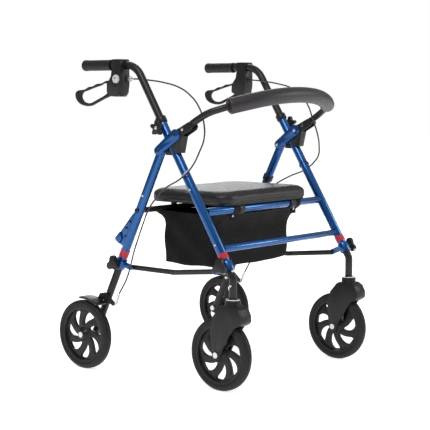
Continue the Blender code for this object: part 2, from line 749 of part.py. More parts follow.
def make_brake_housing(side, sign):
    """The lever's housing: a clamp round the handle tube, and two cheeks with the lever's pin."""
    outline = [
        (0.3520, 0.8930),
        (0.3800, 0.8930),
        (0.3830, 0.8890),
        (0.3840, 0.8620),
        (0.3870, 0.8450),
        (0.4030, 0.8240),
        (0.4040, 0.8010),
        (0.3850, 0.7890),
        (0.3620, 0.7880),
        (0.3530, 0.7980),
        (0.3490, 0.8220),
        (0.3490, 0.8890),
    ]
    body = plate(sign, [outline], -0.0130, 0.0248)
    slot_low = LEVER_PLANE - LEVER_HALF_THICKNESS - 0.0004
    slot_high = LEVER_PLANE + LEVER_HALF_THICKNESS + 0.0004
    slot_outline = [(0.3580, 0.7800), (0.4200, 0.7800), (0.4200, 0.8460), (0.3580, 0.8460)]
    slot = plate(sign, [slot_outline], slot_low, slot_high)
    x = outboard(sign, 0)
    bore = rod(spot(x, 0.33, GRIP_HEIGHT), spot(x, 0.42, GRIP_HEIGHT), INNER_TUBE_RADIUS + GAP, 24)
    body = cut(body, slot, bore)
    pin = cross(sign, slot_low - 0.004, slot_high + 0.003, *LEVER_PIVOT, 0.003)
    pivot = spot(x, 0, GRIP_HEIGHT)
    name_part(join(body, pin), f"brake_housing_{side}", "black_plastic", pivot)


def make_brake_lever(side, sign):
    """The loop lever: squeezed up, it pulls the cable."""
    outer = arc(LEVER_PIVOT, 0.0100, 100, 250, 6)
    outer += [(0.3900, 0.7925), (0.4218, 0.7810), (0.4505, 0.7697), (0.4754, 0.7612), (0.5040, 0.7625)]
    outer += [(0.5260, 0.7715), (0.5365, 0.7850), (0.5370, 0.7980), (0.5280, 0.8050), (0.5120, 0.8072)]
    outer += [(0.4830, 0.8155), (0.4500, 0.8240), (0.4090, 0.8330)]
    inner = [(0.4080, 0.8240), (0.4360, 0.8188), (0.4620, 0.8126), (0.4900, 0.8046), (0.5070, 0.7990)]
    inner += [(0.5130, 0.7890), (0.5070, 0.7770), (0.4930, 0.7705), (0.4740, 0.7700), (0.4560, 0.7762)]
    inner += [(0.4420, 0.7820), (0.4200, 0.7910), (0.4060, 0.8010)]
    half = LEVER_HALF_THICKNESS
    hole = circle(LEVER_PIVOT, 0.003 + HOLE_GAP)
    lever = plate(sign, [outer, inner, hole], LEVER_PLANE - half, LEVER_PLANE + half)
    pivot = spot(outboard(sign, LEVER_PLANE), *LEVER_PIVOT)
    name_part(lever, f"brake_lever_{side}", "black_plastic", pivot)


def lobed(centre, lobes, small, big, steps):
    """A knob's outline: round lobes about a centre."""
    outline = []
    for step in range(steps):
        angle = 2 * math.pi * step / steps
        wave = (0.5 + 0.5 * math.cos(lobes * angle)) ** 0.8
        radius = small + (big - small) * wave
        outline.append((centre[0] + radius * math.sin(angle), centre[1] + radius * math.cos(angle)))
    return outline


def make_knob(name, sign, centre, lobes, radius, near, far, pivot):
    """A lobed knob on a screw that reaches the leg's bore."""
    head = plate(sign, [lobed(centre, lobes, radius * 0.55, radius, lobes * 8)], near, far)
    neck = cross(sign, COLLAR_RADIUS + GAP, near + 0.001, *centre, 0.0075)
    screw = cross(sign, LEG_BORE + 0.0001, near + 0.002, *centre, SCREW_RADIUS)
    name_part(join(head, neck, screw), name, "black_plastic", pivot)


def make_knobs(side, sign):
    """The star knob that sets the handle's height, and the two that hold the leg's extensions."""
    spots = {
        f"height_knob_{side}": (front_axis(HEIGHT_KNOB_Z), HEIGHT_KNOB_Z, 5, STAR_RADIUS, 0.024, 0.036),
        f"leg_knob_front_{side}": (front_axis(FRONT_KNOB_Z), FRONT_KNOB_Z, 3, TRI_RADIUS, 0.026, 0.038),
        f"leg_knob_rear_{side}": (rear_axis(REAR_KNOB_Z), REAR_KNOB_Z, 3, TRI_RADIUS, 0.026, 0.038),
    }
    for name, (y, z, lobes, radius, near, far) in spots.items():
        make_knob(name, sign, (y, z), lobes, radius, near, far, spot(outboard(sign, far), y, z))


def make_seat():
    """The padded seat on its board, whose two clamps turn on the front crossbar."""
    hinge = spot(0, *SEAT_BAR)
    outline = rounded_box(SEAT_HALF_WIDTH, SEAT_FRONT, SEAT_REAR, SEAT_CORNER)
    pad = slab(outline, SEAT_BOTTOM, SEAT_TOP, 0.008)
    recess_outline = rounded_box(
        SEAT_HALF_WIDTH - SEAT_LIP, SEAT_FRONT + SEAT_LIP, SEAT_REAR - SEAT_LIP, SEAT_CORNER - SEAT_LIP
    )
    recess = slab(recess_outline, SEAT_BOTTOM - 0.01, SEAT_RECESS_TOP)
    name_part(cut(pad, recess), "seat_pad", "vinyl", hinge)
    inset = SEAT_LIP + 0.002
    board_outline = rounded_box(
        SEAT_HALF_WIDTH - inset, SEAT_FRONT + inset, SEAT_REAR - inset, SEAT_CORNER - inset
    )
    board = slab(board_outline, BOARD_BOTTOM, SEAT_RECESS_TOP - GAP)
    pieces = []
    for sign in (-1, 1):
        middle = sign * SEAT_CLAMP_X
        pieces.append(cross_rod(middle - 0.011, middle + 0.011, *SEAT_BAR, 0.0148, 24))
        rest = sign * 0.13
        y = rear_axis(REAR_BAR_Z)
        top = REAR_BAR_Z + REAR_BAR_RADIUS + GAP
        pieces.append(rod(spot(rest, y, top), spot(rest, y, BOARD_BOTTOM + 0.001), 0.009))
    board = join(board, *pieces)
    bar = cross_rod(-0.2, 0.2, *SEAT_BAR, SEAT_BAR_RADIUS + GAP, 24)
    name_part(cut(board, bar), "seat_board", "black_plastic", hinge)


def make_bag():
    """The open bag under the seat."""
    outer = slab(rounded_box(BAG_HALF_WIDTH, BAG_FRONT, BAG_REAR, 0.012, 3), BAG_BOTTOM, BAG_TOP)
    inner_outline = rounded_box(
        BAG_HALF_WIDTH - BAG_WALL, BAG_FRONT + BAG_WALL, BAG_REAR - BAG_WALL, 0.010, 3
    )
    inner = slab(inner_outline, BAG_BOTTOM + BAG_WALL, BAG_TOP + 0.02)
    name_part(cut(outer, inner), "bag", "nylon")


def smooth_path(route, steps):
    """Points on a Catmull-Rom curve through a route."""
    ends = [route[0] * 2 - route[1], *route, route[-1] * 2 - route[-2]]
    path = []
    for a, b, c, d in zip(ends, ends[1:], ends[2:], ends[3:]):
        for step in range(steps):
            t = step / steps
            bend = (a * -1 + b * 3 - c * 3 + d) * t**3 + (a * 2 - b * 5 + c * 4 - d) * t**2
            path.append((bend + (c - a) * t + b * 2) / 2)
    path.append(route[-1])
    return path


def backrest_route():
    """The bow from the right-hand pin, forward and up, across, and back to the left-hand pin."""
    half = [
        spot(-SIDE_X, 0.1360, 0.6957),
        spot(-SIDE_X, BACKREST_PIN[0], BACKREST_PIN[1]),
        spot(-SIDE_X, 0.0820, 0.7280),
        spot(-0.2620, 0.0520, 0.7455),
        spot(-0.2420, 0.0230, 0.7575),
        spot(-FOAM_END_X, 0.0110, 0.7630),
        spot(-0.1780, -0.0150, 0.7745),
        spot(-0.1180, -0.0360, 0.7855),
        spot(-0.0600, -0.0470, 0.7915),
    ]
    other = [Vector((-point.x, point.y, point.z)) for point in reversed(half)]
    return [*half, spot(0, -0.0505, 0.7935), *other]


def make_backrest():
    """The bent backrest tube and the foam round its middle."""
    route = backrest_route()
    pivot = spot(0, *BACKREST_PIN)
    tube = bent_pipe(route, BOW_RADIUS, 3)
    holes = [cross(sign, -0.02, 0.02, *BACKREST_PIN, 0.003 + HOLE_GAP) for sign in (-1, 1)]
    name_part(cut(tube, *holes), "backrest_tube", "black_tube", pivot)
    first = 5
    foam = bent_bar(route[first:-first], FOAM_RADIUS, 4)
    core = bent_bar(route[first - 1:len(route) - first + 1], BOW_RADIUS + 0.0006, 3)
    name_part(cut(foam, core), "backrest_foam", "foam", pivot)


def cable_route(sign):
    """The brake cable: out of the housing, forward in a loop, round the leg and down to the brake."""
    points = [
        (-0.0070, 0.3480, 0.8380),
        (-0.0130, 0.3150, 0.8375),
        (-0.0165, 0.2850, 0.8350),
        (-0.0185, 0.2180, 0.8265),
        (-0.0180, 0.1620, 0.8125),
        (-0.0205, 0.1290, 0.7935),
        (-0.0220, 0.0990, 0.7630),
        (-0.0215, 0.0800, 0.7200),
        (-0.0110, 0.0700, 0.6760),
        (0.0040, 0.0740, 0.6400),
        (0.0150, 0.0850, 0.6080),
        (0.0170, 0.1080, 0.5820),
        (0.0165, 0.1400, 0.5620),
        (0.0070, 0.1900, 0.5410),
        (-0.0070, 0.2400, 0.5100),
        (-0.0100, 0.2760, 0.4720),
        (-0.0060, 0.2950, 0.4280),
        (0.0020, 0.3080, 0.3830),
        (0.0085, 0.3180, 0.3450),
        (0.0105, 0.3280, 0.3080),
        (0.0120, 0.3430, 0.2700),
        (0.0145, 0.3700, 0.2260),
    ]
    return [spot(outboard(sign, offset), y, z) for offset, y, z in points]


def make_cable(side, sign):
    """The cable's outer casing, all the way from lever to brake."""
    path = smooth_path(cable_route(sign), 2)
    name_part(bent_bar(path, CABLE_RADIUS, 2), f"brake_cable_{side}", "cable")


def make_side(side, sign):
    """Everything that the walker has once on each side."""
    make_front_leg(side, sign)
    make_rear_leg(side, sign)
    make_fold_bracket(side, sign)
    make_backrest_socket(side, sign)
    make_front_collar(side, sign)
    make_rear_collar(side, sign)
    make_brace_links(side, sign)
    make_caster_stem(side, sign)
    make_caster_fork(side, sign)
    make_wheel(f"front_{side}", sign, outboard(sign, 0), 0)
    make_wheel(f"rear_{side}", sign, sign * REAR_WHEEL_X, WHEELBASE)
    make_front_axle(side, sign)
    make_rear_axle(side, sign)
    make_rear_extension(side, sign)
    make_brake_arm(side, sign)
    make_handle(side, sign)
    make_brake_housing(side, sign)
    make_brake_lever(side, sign)
    make_knobs(side, sign)
    make_cable(side, sign)


clear_scene()
collection = bpy.data.collections.new("rollator_walker")
bpy.context.scene.collection.children.link(collection)
materials = make_materials()
for side_name, side_sign in SIDES.items():
    make_side(side_name, side_sign)
make_crossbars()
make_seat()
make_bag()
make_backrest()
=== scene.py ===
import json
import math

import bpy
from mathutils import Matrix
from mathutils import Vector

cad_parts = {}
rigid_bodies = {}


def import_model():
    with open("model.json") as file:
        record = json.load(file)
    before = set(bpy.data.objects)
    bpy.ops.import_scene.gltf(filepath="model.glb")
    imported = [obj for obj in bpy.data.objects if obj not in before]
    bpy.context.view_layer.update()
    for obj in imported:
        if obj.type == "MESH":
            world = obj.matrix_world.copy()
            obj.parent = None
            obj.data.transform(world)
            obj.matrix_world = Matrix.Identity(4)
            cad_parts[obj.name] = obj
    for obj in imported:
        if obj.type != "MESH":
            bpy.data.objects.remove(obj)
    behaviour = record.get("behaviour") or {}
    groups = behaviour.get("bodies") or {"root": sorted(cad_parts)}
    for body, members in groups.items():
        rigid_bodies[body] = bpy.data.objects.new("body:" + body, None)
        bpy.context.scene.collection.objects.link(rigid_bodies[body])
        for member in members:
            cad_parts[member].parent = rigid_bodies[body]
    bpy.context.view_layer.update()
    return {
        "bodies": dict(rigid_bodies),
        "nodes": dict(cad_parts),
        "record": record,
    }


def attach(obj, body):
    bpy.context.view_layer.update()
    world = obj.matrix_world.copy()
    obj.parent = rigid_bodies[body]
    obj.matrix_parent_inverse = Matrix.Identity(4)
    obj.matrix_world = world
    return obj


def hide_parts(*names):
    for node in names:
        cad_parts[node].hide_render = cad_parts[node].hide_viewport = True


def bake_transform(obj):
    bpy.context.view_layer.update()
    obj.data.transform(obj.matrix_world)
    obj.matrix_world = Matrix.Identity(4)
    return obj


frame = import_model()
print("frame loaded,", len(frame["nodes"]), "nodes")

# camera, light and floor
camera = {
    "place": (-2.802, -2.374, 0.8056),
    "turn": 49.59,      # degrees from straight ahead of +Y, towards +X
    "dip": 5.69,        # degrees below the horizon
    "lens": 104.65,
}
studio = {
    "lights": {          # where each one is, how wide, and its power
        "keyLight": ((-2.2, -0.9, 3.4), 1.8, 62),
        "sideLight": ((2.2, -2.6, 1.7), 1.3, 34),
        "lowBackLight": ((3.3, 2.8, 0.95), 2.0, 24),
        "backLight": ((2.4, 2.6, 2.8), 1.8, 26),
    },
    "aim": (0, 0, 0.45),
    "skyLow": 0.10,      # light from near the horizon
    "skyHigh": 0.62,     # light from overhead
    "skyFrom": -0.05,    # how high in the sky the change starts and ends
    "skyTo": 0.9,
    "floorSize": 30,
    "floorGlow": 0.62,
    "floorColour": (0.93, 0.93, 0.935),
    "floorPale": (0.96, 0.96, 0.96),
}


def pickNothing():
    if bpy.context.object and bpy.context.object.mode != "OBJECT":
        bpy.ops.object.mode_set(mode="OBJECT")
    bpy.ops.object.select_all(action="DESELECT")


def pick(*objs):
    pickNothing()
    for obj in objs:
        obj.select_set(True)
    bpy.context.view_layer.objects.active = objs[0]


def setUpCamera():
    turn = (math.radians(90 - camera["dip"]), 0, -math.radians(camera["turn"]))
    bpy.ops.object.camera_add(location=camera["place"], rotation=turn)
    cam = bpy.context.object
    cam.name = "studioCamera"
    cam.data.lens = camera["lens"]
    cam.data.sensor_width = 36
    cam.data.clip_end = 60
    bpy.context.scene.camera = cam


def addAreaLight(name, place, aim, size, power):
    bpy.ops.object.light_add(type="AREA", location=place)
    light = bpy.context.object
    light.name = name
    light.data.shape = "DISK"
    light.data.size = size
    light.data.energy = power
    light.rotation_euler = (Vector(aim) - Vector(place)).to_track_quat("-Z", "Y").to_euler()


def setUpSky():
    # white where it is seen, and a soft overhead gradient where it lights the walker
    world = bpy.data.worlds.new("studioSky")
    world.use_nodes = True
    tree = world.node_tree
    place = tree.nodes.new("ShaderNodeTexCoord")
    split = tree.nodes.new("ShaderNodeSeparateXYZ")
    height = tree.nodes.new("ShaderNodeMapRange")
    height.inputs["From Min"].default_value = studio["skyFrom"]
    height.inputs["From Max"].default_value = studio["skyTo"]
    height.inputs["To Min"].default_value = studio["skyLow"]
    height.inputs["To Max"].default_value = studio["skyHigh"]
    seen = tree.nodes.new("ShaderNodeLightPath")
    glow = tree.nodes.new("ShaderNodeMix")
    glow.inputs[3].default_value = 1.0
    tree.links.new(place.outputs["Generated"], split.inputs[0])
    tree.links.new(split.outputs["Z"], height.inputs["Value"])
    tree.links.new(seen.outputs["Is Camera Ray"], glow.inputs[0])
    tree.links.new(height.outputs["Result"], glow.inputs[2])
    tree.links.new(glow.outputs[0], tree.nodes["Background"].inputs["Strength"])
    tree.nodes["Background"].inputs["Color"].default_value = (1, 1, 1, 1)
    bpy.context.scene.world = world


def setUpStudio():
    pickNothing()
    bpy.ops.mesh.primitive_grid_add(x_subdivisions=8, y_subdivisions=8, size=studio["floorSize"])
    floor = bpy.context.object
    floor.name = "studioFloor"
    mat = newMaterial("studioPaper", studio["floorColour"], 0.95)
    mixColour(mat, noise(mat, 3.0, 2), studio["floorColour"], studio["floorPale"])
    shaderOf(mat).inputs["Emission Color"].default_value = (1, 1, 1, 1)
    shaderOf(mat).inputs["Emission Strength"].default_value = studio["floorGlow"]
    shaderOf(mat).inputs["Specular IOR Level"].default_value = 0.0
    floor.data.materials.append(mat)
    for name, (place, size, power) in studio["lights"].items():
        addAreaLight(name, place, studio["aim"], size, power)
    setUpSky()
    bpy.context.scene.view_settings.view_transform = "Standard"


# material helpers
def newMaterial(name, colour, rough, metal=0.0):
    mat = bpy.data.materials.new(name)
    mat.use_nodes = True
    mat.diffuse_color = (*colour, 1)
    shader = mat.node_tree.nodes["Principled BSDF"]
    shader.inputs["Base Color"].default_value = (*colour, 1)
    shader.inputs["Roughness"].default_value = rough
    shader.inputs["Metallic"].default_value = metal
    return mat


def shaderOf(mat):
    return mat.node_tree.nodes["Principled BSDF"]


def node(mat, kind, **values):
    made = mat.node_tree.nodes.new(kind)
    for key, value in values.items():
        setattr(made, key, value)
    return made


def wire(mat, source, target):
    mat.node_tree.links.new(source, target)


def coords(mat, stretch=(1, 1, 1)):
    place = node(mat, "ShaderNodeTexCoord")
    mapping = node(mat, "ShaderNodeMapping")
    mapping.inputs["Scale"].default_value = stretch
    wire(mat, place.outputs["Object"], mapping.inputs["Vector"])
    return mapping.outputs["Vector"]


def noise(mat, scale, detail=3, stretch=(1, 1, 1), distort=0.0):
    tex = node(mat, "ShaderNodeTexNoise")
    tex.inputs["Scale"].default_value = scale
    tex.inputs["Detail"].default_value = detail
    tex.inputs["Distortion"].default_value = distort
    wire(mat, coords(mat, stretch), tex.inputs["Vector"])
    return tex.outputs["Fac"]


def cells(mat, scale, feature="F1"):
    tex = node(mat, "ShaderNodeTexVoronoi", feature=feature)
    tex.inputs["Scale"].default_value = scale
    wire(mat, coords(mat), tex.inputs["Vector"])
    return tex.outputs["Distance"]


def ramp(mat, source, low, high, fromLow=0.0, fromHigh=1.0):
    made = node(mat, "ShaderNodeMapRange")
    made.inputs["From Min"].default_value = fromLow
    made.inputs["From Max"].default_value = fromHigh
    made.inputs["To Min"].default_value = low
    made.inputs["To Max"].default_value = high
    wire(mat, source, made.inputs["Value"])
    return made.outputs["Result"]


def mixColour(mat, factor, first, second, target="Base Color"):
    made = node(mat, "ShaderNodeMix", data_type="RGBA")
    wire(mat, factor, made.inputs["Factor"])
    for socket, value in ((made.inputs[6], first), (made.inputs[7], second)):
        if isinstance(value, tuple):
            socket.default_value = (*value, 1)
        else:
            wire(mat, value, socket)
    if target:
        wire(mat, made.outputs[2], shaderOf(mat).inputs[target])
    return made.outputs[2]


def roughFrom(mat, source, low, high, fromLow=0.3, fromHigh=0.7):
    wire(mat, ramp(mat, source, low, high, fromLow, fromHigh), shaderOf(mat).inputs["Roughness"])


def bump(mat, height, strength, distance, under=None):
    made = node(mat, "ShaderNodeBump")
    made.inputs["Strength"].default_value = strength
    made.inputs["Distance"].default_value = distance
    wire(mat, height, made.inputs["Height"])
    if under is not None:
        wire(mat, under, made.inputs["Normal"])
    wire(mat, made.outputs["Normal"], shaderOf(mat).inputs["Normal"])
    return made.outputs["Normal"]


# finishes
def makeBluePaint():
    mat = newMaterial("bluePaint", (0.0004, 0.078, 0.27), 0.3, 0.7)
    shader = shaderOf(mat)
    shader.inputs["Coat Weight"].default_value = 0.45
    shader.inputs["Coat Roughness"].default_value = 0.06
    tone = mixColour(mat, noise(mat, 14, 3), (0.0003, 0.070, 0.25), (0.0006, 0.086, 0.30), None)
    mixColour(mat, ramp(mat, cells(mat, 2600), 0.10, 0.0, 0.1, 0.5), tone, (0.01, 0.17, 0.46))
    roughFrom(mat, noise(mat, 60, 3), 0.26, 0.32)
    bump(mat, noise(mat, 300, 2), 0.03, 0.0001)
    return mat


def makeBlackTube():
    mat = newMaterial("blackTube", (0.010, 0.0085, 0.009), 0.38, 0.0)
    shaderOf(mat).inputs["Specular IOR Level"].default_value = 0.35
    mixColour(mat, noise(mat, 60, 4), (0.0075, 0.0062, 0.0068), (0.013, 0.011, 0.012))
    roughFrom(mat, noise(mat, 140, 3), 0.3, 0.46)
    bump(mat, cells(mat, 1500, "SMOOTH_F1"), 0.12, 0.0002)
    return mat


def makeBlackPlastic():
    mat = newMaterial("blackPlastic", (0.010, 0.0085, 0.009), 0.45)
    shaderOf(mat).inputs["Specular IOR Level"].default_value = 0.32
    mixColour(mat, noise(mat, 45, 4), (0.0075, 0.0062, 0.0068), (0.014, 0.012, 0.0125))
    roughFrom(mat, noise(mat, 170, 3), 0.34, 0.52)
    bump(mat, noise(mat, 1900, 3), 0.18, 0.0003)
    return mat


def makeRedBand():
    mat = newMaterial("redBand", (0.50, 0.006, 0.02), 0.4)
    mixColour(mat, noise(mat, 80, 3), (0.44, 0.005, 0.018), (0.58, 0.010, 0.028))
    roughFrom(mat, noise(mat, 220, 2), 0.32, 0.5)
    bump(mat, noise(mat, 1500, 2), 0.15, 0.0002)
    return mat


def makeWhiteCap():
    mat = newMaterial("whiteCap", (0.50, 0.50, 0.50), 0.35)
    mixColour(mat, noise(mat, 260, 3), (0.40, 0.39, 0.39), (0.60, 0.60, 0.60))
    roughFrom(mat, noise(mat, 260, 2), 0.28, 0.44)
    bump(mat, noise(mat, 1300, 2), 0.15, 0.0002)
    return mat


def makeGripRubber():
    mat = newMaterial("gripRubber", (0.013, 0.0125, 0.013), 0.6)
    shaderOf(mat).inputs["Specular IOR Level"].default_value = 0.35
    mixColour(mat, noise(mat, 70, 4), (0.0065, 0.0055, 0.006), (0.012, 0.0105, 0.011))
    roughFrom(mat, noise(mat, 260, 2), 0.48, 0.66)
    bump(mat, cells(mat, 900), 0.3, 0.0005)
    return mat


def makeFoamRubber():
    mat = newMaterial("foamRubber", (0.015, 0.011, 0.015), 0.48)
    shaderOf(mat).inputs["Specular IOR Level"].default_value = 0.5
    shaderOf(mat).inputs["Sheen Weight"].default_value = 0.05
    shaderOf(mat).inputs["Sheen Roughness"].default_value = 0.45
    pores = cells(mat, 700)
    mixColour(mat, noise(mat, 35, 5), (0.012, 0.0085, 0.0120), (0.019, 0.015, 0.0190))
    roughFrom(mat, noise(mat, 320, 2), 0.42, 0.56)
    under = bump(mat, noise(mat, 55, 3), 0.12, 0.0008)
    bump(mat, pores, 0.22, 0.0003, under)
    return mat


def makeSeatVinyl():
    mat = newMaterial("seatVinyl", (0.016, 0.013, 0.013), 0.4)
    shaderOf(mat).inputs["Specular IOR Level"].default_value = 0.42
    mixColour(mat, noise(mat, 30, 4), (0.008, 0.006, 0.0065), (0.014, 0.011, 0.0115))
    roughFrom(mat, noise(mat, 120, 3), 0.38, 0.48)
    under = bump(mat, noise(mat, 38, 3, distort=0.6), 0.25, 0.002)
    bump(mat, cells(mat, 620, "DISTANCE_TO_EDGE"), 0.35, 0.0005, under)
    return mat


def makeBagNylon():
    mat = newMaterial("bagNylon", (0.006, 0.0055, 0.006), 0.8)
    shaderOf(mat).inputs["Specular IOR Level"].default_value = 0.2
    shaderOf(mat).inputs["Sheen Weight"].default_value = 0.05
    shaderOf(mat).inputs["Sheen Roughness"].default_value = 0.4
    mixColour(mat, noise(mat, 40, 5), (0.0040, 0.0032, 0.0035), (0.008, 0.0068, 0.0072))
    roughFrom(mat, noise(mat, 200, 2), 0.72, 0.9)
    warp = node(mat, "ShaderNodeTexWave", bands_direction="DIAGONAL")
    warp.inputs["Scale"].default_value = 220
    wire(mat, coords(mat), warp.inputs["Vector"])
    under = bump(mat, noise(mat, 24, 4), 0.35, 0.004)
    bump(mat, warp.outputs["Fac"], 0.3, 0.0004, under)
    return mat


def makeTyreRubber():
    mat = newMaterial("tyreRubber", (0.014, 0.013, 0.014), 0.6)
    shaderOf(mat).inputs["Specular IOR Level"].default_value = 0.3
    mixColour(mat, noise(mat, 55, 5), (0.0085, 0.0072, 0.0078), (0.016, 0.014, 0.0145))
    roughFrom(mat, noise(mat, 200, 3), 0.5, 0.68)
    bump(mat, noise(mat, 650, 4), 0.25, 0.0006)
    return mat


def makeRimPlastic():
    mat = newMaterial("rimPlastic", (0.010, 0.0085, 0.009), 0.42)
    shaderOf(mat).inputs["Specular IOR Level"].default_value = 0.3
    mixColour(mat, noise(mat, 40, 4), (0.0075, 0.0062, 0.0068), (0.014, 0.012, 0.0125))
    roughFrom(mat, noise(mat, 150, 3), 0.32, 0.52)
    bump(mat, noise(mat, 1200, 2), 0.18, 0.0004)
    return mat


def makeZincSteel():
    mat = newMaterial("zincSteel", (0.66, 0.66, 0.67), 0.28, 1.0)
    shaderOf(mat).inputs["Anisotropic"].default_value = 0.3
    mixColour(mat, noise(mat, 90, 4), (0.52, 0.52, 0.53), (0.78, 0.78, 0.79))
    roughFrom(mat, noise(mat, 600, 3, (1, 1, 6)), 0.2, 0.42)
    bump(mat, noise(mat, 900, 2, (1, 1, 8)), 0.12, 0.0003)
    return mat


def makeCableSheath():
    mat = newMaterial("cableSheath", (0.016, 0.016, 0.017), 0.4)
    mixColour(mat, noise(mat, 60, 3), (0.012, 0.012, 0.013), (0.024, 0.023, 0.025))
    roughFrom(mat, noise(mat, 200, 2), 0.32, 0.5)
    bump(mat, noise(mat, 1400, 2), 0.2, 0.0003)
    return mat


# modelling helpers
body = {}           # the body each CAD node rides on
slotOf = {}         # the finish slot each CAD node is recorded with
sideX = 0.271       # the plane of the legs on each side
axleY = -0.241      # the front axle; every y below is measured back from it
sides = {"right": -1, "left": 1}


def at(side, out, y, z):
    return Vector((sides[side] * (sideX + out), y + axleY, z))


def editAll(obj):
    pick(obj)
    bpy.ops.object.mode_set(mode="EDIT")
    bpy.ops.mesh.select_all(action="SELECT")


def mergeAndFaceOut(obj, gap=0.00002):
    editAll(obj)
    bpy.ops.mesh.remove_doubles(threshold=gap)
    bpy.ops.mesh.delete_loose()
    bpy.ops.mesh.select_all(action="SELECT")
    bpy.ops.mesh.normals_make_consistent(inside=False)
    bpy.ops.object.mode_set(mode="OBJECT")


def bevelEdges(obj, width, segments=2, angle=32):
    pick(obj)
    bevel = obj.modifiers.new("edge", "BEVEL")
    bevel.width = width
    bevel.segments = segments
    bevel.limit_method = "ANGLE"
    bevel.angle_limit = math.radians(angle)
    bpy.ops.object.modifier_apply(modifier=bevel.name)


def finishPiece(obj, name, finish, rides, sharp=38):
    pick(obj)
    bpy.ops.object.transform_apply(location=True, rotation=True, scale=True)
    obj.name = name
    obj.data.name = name
    obj.data.materials.clear()
    obj.data.materials.append(finishes[finish])
    bpy.ops.object.shade_smooth_by_angle(angle=math.radians(sharp))
    if rides:
        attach(obj, rides)
    return obj


def joinPieces(objs):
    pick(*objs)
    if len(objs) > 1:
        bpy.ops.object.join()
    return bpy.context.object


def addRod(start, end, radius, edge=0.0008, vertices=40):
    pickNothing()
    start = Vector(start)
    end = Vector(end)
    turn = (end - start).to_track_quat("Z", "Y").to_euler()
    bpy.ops.mesh.primitive_cylinder_add(vertices=vertices, radius=radius, depth=(end - start).length,
                                        location=(start + end) / 2, rotation=turn)
    obj = bpy.context.object
    bpy.ops.object.transform_apply(location=True, rotation=True, scale=True)
    bevelEdges(obj, edge)
    return obj


def addTube(points, radius, sizes=None, resolution=6, steps=8, closed=False):
    pickNothing()
    bpy.ops.curve.primitive_bezier_curve_add()
    obj = bpy.context.object
    obj.data.dimensions = "3D"
    obj.data.bevel_depth = radius
    obj.data.bevel_resolution = resolution
    obj.data.resolution_u = steps
    obj.data.use_fill_caps = True
    spline = obj.data.splines[0]
    spline.bezier_points.add(len(points) - 2)
    spline.use_cyclic_u = closed
    for index, point in enumerate(spline.bezier_points):
        point.co = points[index]
        point.handle_left_type = "AUTO"
        point.handle_right_type = "AUTO"
        point.radius = sizes[index] if sizes else 1.0
    bpy.ops.object.convert(target="MESH")
    obj = bpy.context.object
    mergeAndFaceOut(obj)
    return obj


def addPlate(outlines, middle, half, edge=0.001, smooth=False):
    pickNothing()
    bpy.ops.curve.primitive_bezier_circle_add()
    obj = bpy.context.object
    obj.data.dimensions = "2D"
    obj.data.fill_mode = "BOTH"
    obj.data.resolution_u = 6
    obj.data.extrude = half - edge
    obj.data.bevel_depth = edge
    obj.data.bevel_resolution = 2
    obj.data.offset = -edge
    obj.data.splines.clear()
    for outline in outlines:
        spline = obj.data.splines.new("BEZIER" if smooth else "POLY")
        if smooth:
            spline.bezier_points.add(len(outline) - 1)
            for point, place in zip(spline.bezier_points, outline):
                point.co = (*place, 0)
                point.handle_left_type = "AUTO"
                point.handle_right_type = "AUTO"
        else:
            spline.points.add(len(outline) - 1)
            for point, place in zip(spline.points, outline):
                point.co = (*place, 0, 1)
        spline.use_cyclic_u = True
    bpy.ops.object.convert(target="MESH")
    obj = bpy.context.object
    obj.matrix_world = Matrix(((0, 0, 1, middle), (1, 0, 0, axleY), (0, 1, 0, 0), (0, 0, 0, 1)))
    bpy.ops.object.transform_apply(location=True, rotation=True, scale=True)
    mergeAndFaceOut(obj)
    return obj


def addTurned(profile, centre, along=(1, 0, 0), steps=64):
    pickNothing()
    along = Vector(along).normalized()
    across = along.orthogonal().normalized()
    bpy.ops.mesh.primitive_circle_add(vertices=len(profile), fill_type="NOTHING")
    obj = bpy.context.object
    for vertex, (out, radius) in zip(obj.data.vertices, profile):
        vertex.co = Vector(centre) + along * out + across * radius
    editAll(obj)
    bpy.ops.mesh.spin(steps=steps, angle=2 * math.pi, center=centre, axis=along)
    bpy.ops.object.mode_set(mode="OBJECT")
    mergeAndFaceOut(obj)
    return obj


def addRing(centre, along, inner, outer, length, edge=0.0008):
    half = length / 2
    profile = [(-half, inner), (-half, outer - edge), (-half + edge, outer), (half - edge, outer),
               (half, outer - edge), (half, inner)]
    return addTurned(profile, centre, along, 48)


def addBlock(low, high, edge=0.0015, segments=3):
    pickNothing()
    middle = [(a + b) / 2 for a, b in zip(low, high)]
    size = [abs(b - a) for a, b in zip(low, high)]
    bpy.ops.mesh.primitive_cube_add(size=1, location=middle, scale=size)
    obj = bpy.context.object
    bpy.ops.object.transform_apply(location=True, rotation=True, scale=True)
    bevelEdges(obj, edge, segments)
    return obj


def addPins(side, rides, pins):
    # each pin runs straight out from the walker's middle
    for name, (near, far, y, z, radius, edge, finish) in pins.items():
        pin = addRod(at(side, near, y, z), at(side, far, y, z), radius, edge)
        finishPiece(pin, side + name, finish, rides)


def refineNode(name, edge):
    source = frame["nodes"][name]
    obj = bpy.data.objects.new(name + "Fine", source.data.copy())
    bpy.context.scene.collection.objects.link(obj)
    editAll(obj)
    bpy.ops.mesh.remove_doubles(threshold=0.00002)
    bpy.ops.mesh.dissolve_limited(angle_limit=math.radians(1.5))
    bpy.ops.object.mode_set(mode="OBJECT")
    if edge:
        bevelEdges(obj, edge)
    finishPiece(obj, name + "Fine", slotOf[name], body[name], 35)
    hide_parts(name)
    return obj


